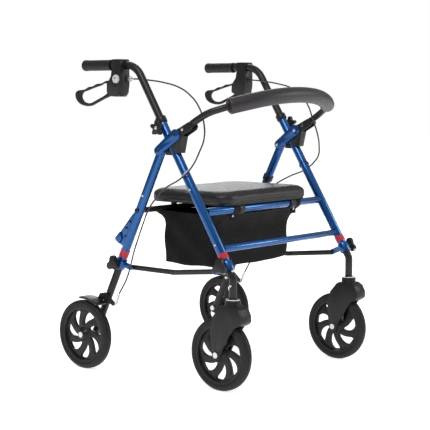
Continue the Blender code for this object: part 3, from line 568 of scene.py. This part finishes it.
# wheels
wheel = {
    "height": 0.100,         # axle height, and the tyre's radius
    "rearX": 0.314,
    "rearY": 0.482,
    "tyre": [(-0.0095, 0.0815), (-0.0125, 0.0835), (-0.0138, 0.0870), (-0.0137, 0.0915), (-0.0120, 0.0960),
             (-0.0090, 0.0986), (-0.0062, 0.0996), (-0.0056, 0.0984), (-0.0046, 0.0984), (-0.0040, 0.0999),
             (0.0, 0.1000), (0.0040, 0.0999), (0.0046, 0.0984), (0.0056, 0.0984), (0.0062, 0.0996),
             (0.0090, 0.0986), (0.0120, 0.0960), (0.0137, 0.0915), (0.0138, 0.0870), (0.0125, 0.0835),
             (0.0095, 0.0815)],
    "rim": [(-0.0112, 0.0745), (-0.0118, 0.0760), (-0.0118, 0.0820), (-0.0100, 0.0836), (0.0100, 0.0836),
            (0.0118, 0.0820), (0.0118, 0.0760), (0.0112, 0.0745), (0.0090, 0.0735), (0.0, 0.0728),
            (-0.0090, 0.0735)],
    "hub": [(-0.0146, 0.0056), (-0.0146, 0.0125), (-0.0138, 0.0140), (-0.0120, 0.0150), (-0.0070, 0.0185),
            (-0.0040, 0.0230), (0.0040, 0.0230), (0.0070, 0.0185), (0.0120, 0.0150), (0.0138, 0.0140),
            (0.0146, 0.0125), (0.0146, 0.0056)],
    "spokes": 7,
    "gapInner": 0.0270,
    "gapOuter": 0.0700,
    "gapInnerHalf": 0.15,
    "gapOuterHalf": 0.29,
    "swirl": 0.50,           # how far a spoke leans round, in radians
    "webRadius": 0.0760,
    "webHalf": 0.0048,
    "webEdge": 0.0014,
    "steps": 96,             # how finely the round shapes are turned
    "hubSteps": 48,
    "gapSteps": 8,
}


def spokeGap(number, hand):
    outline = []
    last = wheel["gapSteps"]
    for edge, order in ((-1, range(0, last + 1)), (1, range(last, -1, -1))):
        for step in order:
            part = step / last
            radius = wheel["gapInner"] + (wheel["gapOuter"] - wheel["gapInner"]) * part
            half = wheel["gapInnerHalf"] + (wheel["gapOuterHalf"] - wheel["gapInnerHalf"]) * part
            rounding = math.sin(math.pi * min(max(part * 0.9 + 0.05, 0), 1)) ** 0.35
            angle = number * 2 * math.pi / wheel["spokes"] + hand * wheel["swirl"] * part
            angle += edge * half * rounding
            outline.append((radius * math.sin(angle), radius * math.cos(angle)))
    return outline


def makeWheel(name, centre, hand, rimNode, tyreNode):
    y = centre[1] - axleY
    z = centre[2]
    tyre = addTurned(wheel["tyre"], centre, steps=wheel["steps"])
    finishPiece(tyre, name + "Tyre", "tyre", body[tyreNode], 30)
    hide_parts(tyreNode)
    ring = addTurned(wheel["rim"], centre, steps=wheel["steps"])
    hub = addTurned(wheel["hub"], centre, steps=wheel["hubSteps"])
    turn = [step * math.pi / (wheel["steps"] / 2) for step in range(wheel["steps"])]
    outlines = [[(y + wheel["webRadius"] * math.sin(angle), z + wheel["webRadius"] * math.cos(angle))
                 for angle in turn]]
    for number in range(wheel["spokes"]):
        outlines.append([(y + a, z + b) for a, b in spokeGap(number, hand)])
    web = addPlate(outlines, centre[0], wheel["webHalf"], wheel["webEdge"])
    rim = joinPieces([ring, hub, web])
    finishPiece(rim, name + "Rim", "rim_plastic", body[rimNode], 40)
    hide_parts(rimNode)


def makeWheels():
    for side, sign in sides.items():
        makeWheel(side + "Front", (sign * sideX, axleY, wheel["height"]), sign,
                  "wheel_rim_front_" + side, "tyre_front_" + side)
        makeWheel(side + "Rear", (sign * wheel["rearX"], axleY + wheel["rearY"], wheel["height"]), sign,
                  "wheel_rim_rear_" + side, "tyre_rear_" + side)
    print("wheels made")


# the seat: a stuffed vinyl pad with a welt round it
seat = {
    "low": (-0.202, 0.041, 0.4910),
    "high": (0.202, 0.349, 0.5205),
    "corner": 0.048,
    "edge": 0.009,
    "voxel": 0.005,
    "pressure": 4.0,
    "cap": 0.008,        # the most that a point may move as the pad fills
    "floor": 0.4900,     # the height of the board that the pad lies on
    "frames": 20,
    "smoothing": 4,
    "weltRadius": 0.0019,
    "weltLow": 0.4935,
    "weltReach": 0.008,
    "weltSink": 0.0004,
}


def roundedBox(low, high, corner, steps=8):
    points = []
    for x, y, start in ((high[0] - corner, high[1] - corner, 0), (low[0] + corner, high[1] - corner, 90),
                        (low[0] + corner, low[1] + corner, 180), (high[0] - corner, low[1] + corner, 270)):
        for step in range(steps + 1):
            angle = math.radians(start + 90 * step / steps)
            points.append((x + corner * math.cos(angle), y + corner * math.sin(angle)))
    return points


def pickUprightEdges(obj):
    for edge in obj.data.edges:
        a, b = (obj.data.vertices[index].co for index in edge.vertices)
        edge.select = abs(a.x - b.x) < 0.0001 and abs(a.y - b.y) < 0.0001


def makeSeat():
    low = Vector(seat["low"]) + Vector((0, axleY, 0))
    high = Vector(seat["high"]) + Vector((0, axleY, 0))
    pickNothing()
    bpy.ops.mesh.primitive_cube_add(size=1, location=(low + high) / 2, scale=high - low)
    pad = bpy.context.object
    bpy.ops.object.transform_apply(location=True, rotation=True, scale=True)
    bpy.ops.object.mode_set(mode="EDIT")
    bpy.ops.mesh.select_mode(type="EDGE")
    bpy.ops.mesh.select_all(action="DESELECT")
    bpy.ops.object.mode_set(mode="OBJECT")
    pickUprightEdges(pad)
    bpy.ops.object.mode_set(mode="EDIT")
    bpy.ops.mesh.bevel(offset=seat["corner"], segments=10)
    bpy.ops.object.mode_set(mode="OBJECT")
    bevelEdges(pad, seat["edge"], 3)
    pick(pad)
    remesh = pad.modifiers.new("cloth", "REMESH")
    remesh.mode = "VOXEL"
    remesh.voxel_size = seat["voxel"]
    bpy.ops.object.modifier_apply(modifier=remesh.name)
    puffUp(pad)
    smoothPiece(pad, seat["smoothing"])
    pick(pad)
    more = pad.modifiers.new("finer", "SUBSURF")
    more.levels = 1
    more.render_levels = 1
    bpy.ops.object.modifier_apply(modifier=more.name)
    finishPiece(pad, "seatCushion", "vinyl", "seat", 60)
    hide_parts("seat_pad")
    points = []
    for x, y in roundedBox(low, high, seat["corner"], 10):
        outward = Vector((x, y, 0)) - Vector((0, (low.y + high.y) / 2, 0))
        probe = Vector((x, y, seat["weltLow"])) + outward.normalized() * seat["weltReach"]
        found, place, normal, index = pad.closest_point_on_mesh(probe)
        points.append(place - normal * seat["weltSink"])
    welt = addTube(points, seat["weltRadius"], closed=True, resolution=4, steps=3)
    finishPiece(welt, "seatWelt", "vinyl", "seat", 60)
    print("seat made")


def puffUp(obj):
    scene = bpy.context.scene
    pick(obj)
    start = [vertex.co.copy() for vertex in obj.data.vertices]
    cloth = obj.modifiers.new("cloth", "CLOTH")
    cloth.settings.use_pressure = True
    cloth.settings.uniform_pressure_force = seat["pressure"]
    cloth.settings.effector_weights.gravity = 0
    cloth.settings.quality = 5
    cloth.point_cache.frame_start = 1
    cloth.point_cache.frame_end = seat["frames"]
    for number in range(1, seat["frames"] + 1):
        scene.frame_set(number)
    bpy.ops.object.modifier_apply(modifier=cloth.name)
    scene.frame_set(1)
    for vertex, place in zip(obj.data.vertices, start):
        move = vertex.co - place
        if move.length > seat["cap"]:
            move = move.normalized() * seat["cap"]
        vertex.co = place + move
        vertex.co.z = max(vertex.co.z, seat["floor"])
    obj.data.update()


def smoothPiece(obj, rounds):
    pick(obj)
    smooth = obj.modifiers.new("soft", "SMOOTH")
    smooth.iterations = rounds
    smooth.factor = 0.5
    bpy.ops.object.modifier_apply(modifier=smooth.name)


# the bag: an open shell of coated nylon that sags between its straps
bag = {
    "low": (-0.170, 0.106, 0.306),
    "high": (0.170, 0.308, 0.466),
    "cuts": 18,
    "belly": 0.006,
    "rimDip": 0.005,
    "lean": 0.034,       # how far the front wall's rim comes forward to its bar
    "flare": 0.058,      # how far the rear wall's corners reach out along the rear bar
    "frontFlare": 0.036,
    "wrinkle": 0.0022,
    "wall": 0.0016,
    "flat": (0.618, 0.482),
    "area": 0.2137,
    "loopX": (-0.140, 0.140),
    "loopBar": (0.0635, 0.478),          # the front bar that the loops go round
    "loopRadii": (0.0112, 0.0132),
    "loopWidth": 0.024,
    "strapBack": (0.0690, 0.0712),
    "strapUp": (0.446, 0.474),
    "snapUp": 0.459,
    "snap": [(0.0, 0.0), (0.0, 0.0036), (0.0010, 0.0034), (0.0016, 0.0026), (0.0018, 0.0)],
}


def makeBag():
    low = Vector(bag["low"]) + Vector((0, axleY, 0))
    high = Vector(bag["high"]) + Vector((0, axleY, 0))
    middle = (low + high) / 2
    half = (high - low) / 2
    pickNothing()
    bpy.ops.mesh.primitive_cube_add(size=1, location=middle, scale=high - low)
    shell = bpy.context.object
    bpy.ops.object.transform_apply(location=True, rotation=True, scale=True)
    bpy.ops.object.mode_set(mode="EDIT")
    bpy.ops.mesh.select_mode(type="FACE")
    bpy.ops.mesh.select_all(action="DESELECT")
    bpy.ops.object.mode_set(mode="OBJECT")
    for face in shell.data.polygons:
        face.select = face.normal.z > 0.9
    bpy.ops.object.mode_set(mode="EDIT")
    bpy.ops.mesh.delete(type="FACE")
    bpy.ops.mesh.select_all(action="SELECT")
    bpy.ops.mesh.subdivide(number_cuts=bag["cuts"])
    bpy.ops.object.mode_set(mode="OBJECT")
    for vertex in shell.data.vertices:
        u = (vertex.co.x - middle.x) / half.x
        v = (vertex.co.y - middle.y) / half.y
        w = (vertex.co.z - middle.z) / half.z
        side = max(abs(u), abs(v))
        wave = math.sin(u * 5.3 + w * 3.1) * math.cos(v * 4.7 - w * 2.3)
        wave += 0.5 * math.sin(u * 11 - v * 7 + w * 6)
        pull = Vector((u if abs(u) > 0.99 else 0, v if abs(v) > 0.99 else 0, 0))
        vertex.co += pull * (bag["wrinkle"] * wave - 0.5 * bag["belly"] * w * w)
        if w < -0.99:
            vertex.co.z += 0.004 * (u * u + v * v) - 0.001 * wave
        rise = max(0.0, (w - 0.35) / 0.65)
        vertex.co.y -= bag["lean"] * rise ** 1.5 * max(0.0, -v) ** 2
        reach = bag["flare"] * max(0.0, v) ** 6 + bag["frontFlare"] * max(0.0, -v) ** 6
        vertex.co.x += math.copysign(reach * rise ** 3, u) * abs(u) ** 4
        if w > 0.99:
            run = v if abs(u) > 0.99 else u
            vertex.co.z -= bag["rimDip"] * (1 - run * run)
        if abs(u) > 0.99 and abs(v) > 0.99:
            vertex.co -= Vector((u * 0.004, v * 0.004, 0))
    pick(shell)
    wall = shell.modifiers.new("wall", "SOLIDIFY")
    wall.thickness = bag["wall"]
    wall.offset = -1
    bpy.ops.object.modifier_apply(modifier=wall.name)
    soft = shell.modifiers.new("soft", "SUBSURF")
    soft.levels = 1
    soft.render_levels = 1
    bpy.ops.object.modifier_apply(modifier=soft.name)
    finishPiece(shell, "carryBag", "nylon", None, 60)
    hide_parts("bag")
    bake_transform(shell)
    barY, barZ = bag["loopBar"]
    near, far = bag["strapBack"]
    bottom, top = bag["strapUp"]
    wide = bag["loopWidth"] / 2
    for number, x in enumerate(bag["loopX"]):
        sleeve = addRing((x, barY + axleY, barZ), (1, 0, 0), *bag["loopRadii"], bag["loopWidth"], 0.0005)
        strap = addBlock((x - wide, near + axleY, bottom), (x + wide, far + axleY, top), 0.0008)
        loop = joinPieces([sleeve, strap])
        finishPiece(loop, "bagLoop" + str(number), "nylon", "front_frame")
        snap = addTurned(bag["snap"], (x, near + axleY, bag["snapUp"]), (0, -1, 0), 28)
        finishPiece(snap, "bagSnap" + str(number), "steel", "front_frame")
    print("bag made")


# the padded backrest strap on its bowed tube
backrest = {
    "route": [(-0.271, 0.136, 0.6957), (-0.271, 0.127, 0.701), (-0.271, 0.082, 0.728),
              (-0.262, 0.052, 0.7455), (-0.242, 0.023, 0.7575), (-0.226, 0.011, 0.763),
              (-0.178, -0.015, 0.7745), (-0.118, -0.036, 0.7855), (-0.060, -0.047, 0.7915),
              (0, -0.0505, 0.7935)],
    "tubeRadius": 0.0095,
    "pin": (0.127, 0.701),
    "pinReach": (0.258, 0.286),
    "pinRadius": 0.0042,
    "foamRadius": 0.0220,
    "foamFrom": 5,       # the point of the route where the foam starts
    "foamEnd": [(0.0, 0.86), (0.0015, 0.96), (0.005, 1.0)],      # way in from its end, share of its radius
    "plugRadii": (0.0098, 0.0160),
    "plugLength": 0.004,
    "plugProud": 0.001,
}


def mirrored(route):
    near = [Vector((x, y + axleY, z)) for x, y, z in route]
    far = [Vector((-place.x, place.y, place.z)) for place in reversed(near[:-1])]
    return near + far


def makeBackrest():
    tube = addTube(mirrored(backrest["route"]), backrest["tubeRadius"], resolution=8)
    pinY, pinZ = backrest["pin"]
    near, far = backrest["pinReach"]
    pins = [addRod((sign * near, pinY + axleY, pinZ), (sign * far, pinY + axleY, pinZ), backrest["pinRadius"])
            for sign in (-1, 1)]
    finishPiece(tube, "backrestBow", "black_tube", "backrest", 60)
    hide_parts("backrest_tube")
    for pin, side in zip(pins, ("Right", "Left")):
        finishPiece(pin, "backrestPin" + side, "steel", "backrest")
    route = mirrored(backrest["route"][backrest["foamFrom"]:])
    inward = (route[1] - route[0]).normalized()
    outward = (route[-2] - route[-1]).normalized()
    ends = backrest["foamEnd"]
    points = [route[0] + inward * step for step, share in ends] + route[1:-1]
    points += [route[-1] + outward * step for step, share in reversed(ends)]
    sizes = [share for step, share in ends] + [1.0] * (len(route) - 2)
    sizes += [share for step, share in reversed(ends)]
    foam = addTube(points, backrest["foamRadius"], sizes, resolution=12, steps=10)
    finishPiece(foam, "backrestFoam", "foam", "backrest", 60)
    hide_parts("backrest_foam")
    for name, place, along in (("foamPlugRight", route[0], inward), ("foamPlugLeft", route[-1], outward)):
        plug = addRing(place - along * backrest["plugProud"], along, *backrest["plugRadii"],
                       backrest["plugLength"])
        finishPiece(plug, name, "black_plastic", "backrest")
    print("backrest made")


# handles: grips, brake levers and the housings' screws and adjusters
lever = {
    "plane": 0.287,
    "half": 0.0042,
    "edge": 0.0022,
    "outer": [(0.3703, 0.8278), (0.3630, 0.8225), (0.3622, 0.8150), (0.3686, 0.8086), (0.3900, 0.7925),
              (0.4218, 0.7810), (0.4505, 0.7697), (0.4754, 0.7612), (0.5040, 0.7625), (0.5260, 0.7715),
              (0.5365, 0.7850), (0.5370, 0.7980), (0.5280, 0.8050), (0.5120, 0.8072), (0.4980, 0.8090),
              (0.4830, 0.8155), (0.4670, 0.8175), (0.4500, 0.8240), (0.4310, 0.8260), (0.4090, 0.8330)],
    "inner": [(0.4080, 0.8240), (0.4360, 0.8188), (0.4620, 0.8126), (0.4900, 0.8046), (0.5070, 0.7990),
              (0.5130, 0.7890), (0.5070, 0.7770), (0.4930, 0.7705), (0.4740, 0.7700), (0.4560, 0.7762),
              (0.4420, 0.7820), (0.4200, 0.7910), (0.4060, 0.8010)],
}
grip = {
    "height": 0.877,
    "from": 0.404,
    "to": 0.515,
    "ribs": 15,
    "ribMargin": 0.014,      # the plain length before the first rib and after the last
    "ribTop": 0.01535,
    "ribFoot": 0.0151,
    "frontLip": [(0.0, 0.0111), (0.0, 0.0156), (0.0015, 0.0160), (0.0055, 0.0160), (0.0070, 0.0153)],
    "endLip": [(0.010, 0.0158), (0.006, 0.0160), (0.0015, 0.0158), (0.0, 0.0150), (0.0, 0.0)],
}
housingBits = {      # a pin is near, far, back, up, radius, edge and finish
    "capPins": {
        "HousingCap": (0.0225, 0.0310, 0.3640, 0.8380, 0.0122, 0.0030, "white_cap"),
        "HousingCapScrew": (0.0305, 0.0318, 0.3640, 0.8380, 0.0042, 0.0005, "steel"),
    },
    "barrel": [(-0.0070, 0.3500, 0.8378), (-0.0100, 0.3300, 0.8378)],
    "barrelRadius": 0.0044,
    "nut": (-0.0075, 0.3430, 0.8378),
    "nutRadii": (0.003, 0.0085),
    "nutLength": 0.0095,
    "barrelFinish": {"right": "steel", "left": "black_plastic"},
    "clampPins": {
        "LeverPivot": (0.0090, 0.0262, 0.372, 0.818, 0.0048, 0.0008, "black_plastic"),
        "ClampBump0": (-0.006, 0.012, 0.3640, 0.8875, 0.0052, 0.0016, "black_plastic"),
        "ClampBump1": (-0.006, 0.012, 0.3900, 0.8875, 0.0052, 0.0016, "black_plastic"),
    },
}


def gripProfile():
    length = grip["to"] - grip["from"]
    ribbed = length - 2 * grip["ribMargin"]
    step = ribbed / grip["ribs"]
    outer = list(grip["frontLip"])
    for rib in range(grip["ribs"]):
        start = grip["ribMargin"] + rib * ribbed / grip["ribs"]
        outer += [(start, grip["ribTop"]), (start + step * 0.2, grip["ribFoot"]),
                  (start + step * 0.5, grip["ribFoot"]), (start + step * 0.7, grip["ribTop"])]
    outer += [(length - back, radius) for back, radius in grip["endLip"]]
    return outer


def makeHandles():
    spot = housingBits
    for side, sign in sides.items():
        handle = "handle_" + side
        blade = addPlate([lever["outer"], lever["inner"]], sign * lever["plane"], lever["half"],
                         lever["edge"], True)
        finishPiece(blade, side + "BrakeLever", "black_plastic", "brake_lever_" + side, 50)
        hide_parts("brake_lever_" + side)
        rubber = addTurned(gripProfile(), at(side, 0, grip["from"], grip["height"]), (0, 1, 0), 56)
        finishPiece(rubber, side + "Grip", "grip_rubber", handle, 50)
        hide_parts("hand_grip_" + side)
        addPins(side, handle, spot["capPins"])
        start, end = (at(side, *place) for place in spot["barrel"])
        rod = addRod(start, end, spot["barrelRadius"])
        nut = addRing(at(side, *spot["nut"]), (0, 1, 0), *spot["nutRadii"], spot["nutLength"])
        barrel = joinPieces([rod, nut])
        finishPiece(barrel, side + "CableAdjuster", spot["barrelFinish"][side], handle)
        addPins(side, handle, spot["clampPins"])
    print("handles made")


# the brake cables, each in three runs, split at the front leg's clip and the rear leg's hook
cableRuns = {
    "radius": 0.0022,
    "route": [(-0.0070, 0.3480, 0.8380), (-0.0130, 0.3150, 0.8375), (-0.0165, 0.2850, 0.8350),
              (-0.0185, 0.2180, 0.8265), (-0.0180, 0.1620, 0.8125), (-0.0205, 0.1290, 0.7935),
              (-0.0220, 0.0990, 0.7630), (-0.0215, 0.0800, 0.7200), (-0.0110, 0.0700, 0.6760),
              (0.0040, 0.0740, 0.6400), (0.0150, 0.0850, 0.6080), (0.0170, 0.1080, 0.5820),
              (0.0165, 0.1400, 0.5620), (0.0070, 0.1900, 0.5410), (-0.0070, 0.2400, 0.5100),
              (-0.0100, 0.2760, 0.4720), (-0.0060, 0.2950, 0.4280), (0.0020, 0.3080, 0.3830),
              (0.0085, 0.3180, 0.3450), (0.0105, 0.3280, 0.3080), (0.0120, 0.3430, 0.2700),
              (0.0145, 0.3700, 0.2260)],
    "clip": 11,          # the point held by the front leg's clip
    "hook": 16,          # the point held by the rear leg's hook
}


def makeCables():
    clip = cableRuns["clip"]
    hook = cableRuns["hook"]
    for side in sides:
        route = [at(side, *place) for place in cableRuns["route"]]
        upper = addTube(route[:clip + 1], cableRuns["radius"], steps=10)
        finishPiece(upper, side + "CableUpper", "cable", None, 60)
        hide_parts("brake_cable_" + side)
        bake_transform(upper)
        middle = addTube(route[clip:hook + 1], cableRuns["radius"], steps=10)
        finishPiece(middle, side + "CableMiddle", "cable", None, 60)
        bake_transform(middle)
        lower = addTube(route[hook:], cableRuns["radius"], steps=10)
        finishPiece(lower, side + "CableLower", "cable", None, 60)
        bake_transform(lower)
    print("cables made")


# small fittings along the legs
frontFoot = (-0.029, 0.330)
frontDirection = Vector((0, 0.5284, 0.8490))
rearFoot = (0.482, 0.100)
rearDirection = Vector((0, -0.4446, 0.8957))
rearSlope = 0.4964


def onFront(side, z):
    return at(side, 0.0, frontFoot[0] + (z - frontFoot[1]) * frontDirection.y / frontDirection.z, z)


def onRear(side, z, out=0.0):
    return at(side, out, rearFoot[0] - (z - rearFoot[1]) * rearSlope, z)


legs = {"front": (onFront, frontDirection), "rear": (onRear, rearDirection)}
fittings = {         # places are out, back and up; a pin is near, far, back, up, radius, edge and finish
    "cuffUp": 0.7245,
    "cuff": [(-0.010, 0.0129), (-0.010, 0.0150), (-0.008, 0.0156), (0.004, 0.0156), (0.007, 0.0150),
             (0.0085, 0.0136), (0.0085, 0.0113), (0.0010, 0.0113), (0.0005, 0.0129)],
    "bands": {"front": (0.3640, 0.017), "rear": (0.3440, 0.022)},        # height on the leg, length
    "bandRadii": (0.0127, 0.0136),
    "rivets": [("front", 0.539, 0.0036), ("front", 0.395, 0.0034), ("rear", 0.513, 0.0036)],
    "rivetHead": [(0.0110, 0.0), (0.0110, 1.0), (0.0128, 1.0), (0.0142, 0.75), (0.0148, 0.0)],
    "clipUp": 0.5805,
    "clipTilt": (0.35, -0.25),
    "clipRadii": (0.0127, 0.0152),
    "clip": {"right": (0.006, "white_cap"), "left": (0.0025, "black_plastic")},
    "springTop": (0.0150, 0.3720, 0.2240),
    "springBack": 0.012,
    "springDrop": 0.030,
    "springRadius": 0.0046,
    "springWire": 0.0012,
    "springTurns": 7,
    "springSteps": 8,
    "finPins": {
        "FinBolt0": (0.0045, 0.0075, 0.3330, 0.4360, 0.0034, 0.0008, "black_plastic"),
        "FinBolt1": (0.0045, 0.0075, 0.3480, 0.4170, 0.0034, 0.0008, "black_plastic"),
        "FinBolt2": (0.0045, 0.0075, 0.3520, 0.3930, 0.0034, 0.0008, "black_plastic"),
    },
    "tab": [(0.3720, 0.4050), (0.3915, 0.3870), (0.3900, 0.3790), (0.3760, 0.3700), (0.3640, 0.3850)],
    "tabOut": 0.0040,
    "tabHalf": 0.0050,
    "barBoltUp": 0.470,
    "barBoltOut": (0.0110, 0.0165),
    "barBoltRadius": 0.0072,
    "stopLow": (-0.0085, 0.171, 0.6290),
    "stopHigh": (0.0085, 0.194, 0.6440),
    "collarPins": {
        "CollarBolt0": (0.0105, 0.0165, -0.052, 0.3330, 0.0042, 0.0010, "steel"),
        "CollarBolt1": (0.0105, 0.0165, -0.030, 0.3130, 0.0042, 0.0010, "steel"),
    },
    "stemPins": {"StemRivet": (0.0080, 0.0128, -0.041, 0.2900, 0.0036, 0.0010, "steel")},
    "guideUp": 0.536,
    "guideRadii": (0.0128, 0.0158),
    "guideLength": 0.018,
    "bracketPins": {
        "BracketBoltOuter0": (0.0188, 0.0206, 0.151, 0.6854, 0.0046, 0.0007, "black_plastic"),
        "BracketBoltInner0": (-0.0188, -0.0206, 0.151, 0.6854, 0.0046, 0.0007, "steel"),
        "BracketBoltOuter1": (0.0188, 0.0206, 0.2175, 0.640, 0.0046, 0.0007, "black_plastic"),
        "BracketBoltInner1": (-0.0188, -0.0206, 0.2175, 0.640, 0.0046, 0.0007, "steel"),
    },
    "washer": (0, -0.041, 0.2525),
    "washerRadii": (0.0120, 0.0190),
    "washerLength": 0.0030,
    "knobBolt": (0.0358, 0.2038, 0.704),
    "knobBoltHead": [(0.0, 0.0), (0.0, 0.0046), (0.0012, 0.0046), (0.0022, 0.0036), (0.0026, 0.0)],
}


def springPath(side):
    out, y, z = fittings["springTop"]
    radius = fittings["springRadius"]
    last = fittings["springSteps"] * fittings["springTurns"]
    path = []
    for step in range(0, last + 1):
        angle = step * 2 * math.pi / fittings["springSteps"]
        part = step / last
        path.append(at(side, out + radius * math.cos(angle),
                       y + fittings["springBack"] * part + radius * math.sin(angle),
                       z - fittings["springDrop"] * part))
    return path


def makeLegRings(side, outward):
    cuff = addTurned(fittings["cuff"], onFront(side, fittings["cuffUp"]), frontDirection, 48)
    finishPiece(cuff, side + "LegCuff", "black_plastic", "front_frame")
    for leg, (height, length) in fittings["bands"].items():
        onLeg, along = legs[leg]
        band = addRing(onLeg(side, height), along, *fittings["bandRadii"], length, 0.0005)
        finishPiece(band, side + leg.capitalize() + "Band", "red_band", leg + "_frame")
    for number, (leg, height, radius) in enumerate(fittings["rivets"]):
        onLeg, along = legs[leg]
        head = [(out, radius * share) for out, share in fittings["rivetHead"]]
        rivet = addTurned(head, onLeg(side, height), outward, 28)
        finishPiece(rivet, side + "LegRivet" + str(number), "steel", leg + "_frame")
    length, finish = fittings["clip"][side]
    acrossTilt, upTilt = fittings["clipTilt"]
    tilt = Vector((sides[side] * acrossTilt, 0, upTilt))
    tie = addRing(onFront(side, fittings["clipUp"]), frontDirection + tilt, *fittings["clipRadii"],
                  length, 0.0004)
    finishPiece(tie, side + "CableClip", finish, "front_frame")


def makeRearLegBits(side, sign):
    spring = addTube(springPath(side), fittings["springWire"], resolution=3, steps=2)
    finishPiece(spring, side + "BrakeSpring", "steel", "rear_extension_" + side, 60)
    addPins(side, "rear_frame", fittings["finPins"])
    tab = addPlate([fittings["tab"]], sign * (sideX + fittings["tabOut"]), fittings["tabHalf"], 0.0016)
    finishPiece(tab, side + "FinTab", "frame_blue", "rear_frame")
    start, end = (onRear(side, fittings["barBoltUp"], out) for out in fittings["barBoltOut"])
    barBolt = addRod(start, end, fittings["barBoltRadius"], 0.0018)
    finishPiece(barBolt, side + "RearBarBolt", "black_plastic", "rear_frame")


def makeFittings():
    for side, sign in sides.items():
        outward = Vector((sign, 0, 0))
        makeLegRings(side, outward)
        makeRearLegBits(side, sign)
        corners = [at(side, *fittings["stopLow"]), at(side, *fittings["stopHigh"])]
        stop = addBlock([min(pair) for pair in zip(*corners)], [max(pair) for pair in zip(*corners)], 0.003)
        finishPiece(stop, side + "FoldStop", "black_plastic", "front_frame")
        addPins(side, "front_frame", fittings["collarPins"])
        addPins(side, "caster_stem_" + side, fittings["stemPins"])
        if side == "left":
            guide = addRing(onRear(side, fittings["guideUp"]), rearDirection, *fittings["guideRadii"],
                            fittings["guideLength"], 0.0012)
            finishPiece(guide, side + "CableGuide", "black_plastic", "rear_frame")
        addPins(side, "front_frame", fittings["bracketPins"])
        washer = addRing(at(side, *fittings["washer"]), (0, 0, 1), *fittings["washerRadii"],
                         fittings["washerLength"], 0.0006)
        finishPiece(washer, side + "ForkWasher", "steel", "caster_stem_" + side)
        boss = addTurned(fittings["knobBoltHead"], at(side, *fittings["knobBolt"]), outward, 32)
        finishPiece(boss, side + "StarKnobBolt", "steel", "height_knob_" + side)
    print("fittings made")


# CAD parts that keep their shape and get rounded edges
pairedEdges = {
    "front_leg": 0.0005, "rear_leg": 0.0005, "rear_extension": 0.0005, "handle_tube": 0.0,
    "fold_bracket": 0.0011, "backrest_socket": 0.0014, "front_collar": 0.0010, "rear_collar": 0.0010,
    "brace_front": 0.0006, "brace_rear": 0.0006, "caster_stem": 0.0006, "caster_fork": 0.0016,
    "brake_arm": 0.0008, "brake_housing": 0.0018, "height_knob": 0.0018, "leg_knob_front": 0.0018,
    "leg_knob_rear": 0.0018,
}
singleEdges = {
    "seat_crossbar": 0.0005, "lower_crossbar": 0.0005, "rear_crossbar": 0.0005, "seat_board": 0.0010,
}


def roundCadParts():
    for part, edge in pairedEdges.items():
        for side in sides:
            refineNode(part + "_" + side, edge)
    for part, edge in singleEdges.items():
        refineNode(part, edge)
    print("CAD parts rounded")


setUpCamera()
finishes = {
    "frame_blue": makeBluePaint(),
    "black_tube": makeBlackTube(),
    "black_plastic": makeBlackPlastic(),
    "grip_rubber": makeGripRubber(),
    "foam": makeFoamRubber(),
    "vinyl": makeSeatVinyl(),
    "nylon": makeBagNylon(),
    "tyre": makeTyreRubber(),
    "rim_plastic": makeRimPlastic(),
    "steel": makeZincSteel(),
    "cable": makeCableSheath(),
    "red_band": makeRedBand(),
    "white_cap": makeWhiteCap(),
}
setUpStudio()
slotOf.update({part["node"]: part["material_slot"] for part in frame["record"]["subparts"]})
for name, obj in frame["nodes"].items():
    obj.data.materials.clear()
    obj.data.materials.append(finishes[slotOf[name]])
    for bodyName, empty in frame["bodies"].items():
        if obj.parent is empty:
            body[name] = bodyName
makeWheels()
makeSeat()
makeBag()
makeBackrest()
makeHandles()
makeCables()
makeFittings()
roundCadParts()
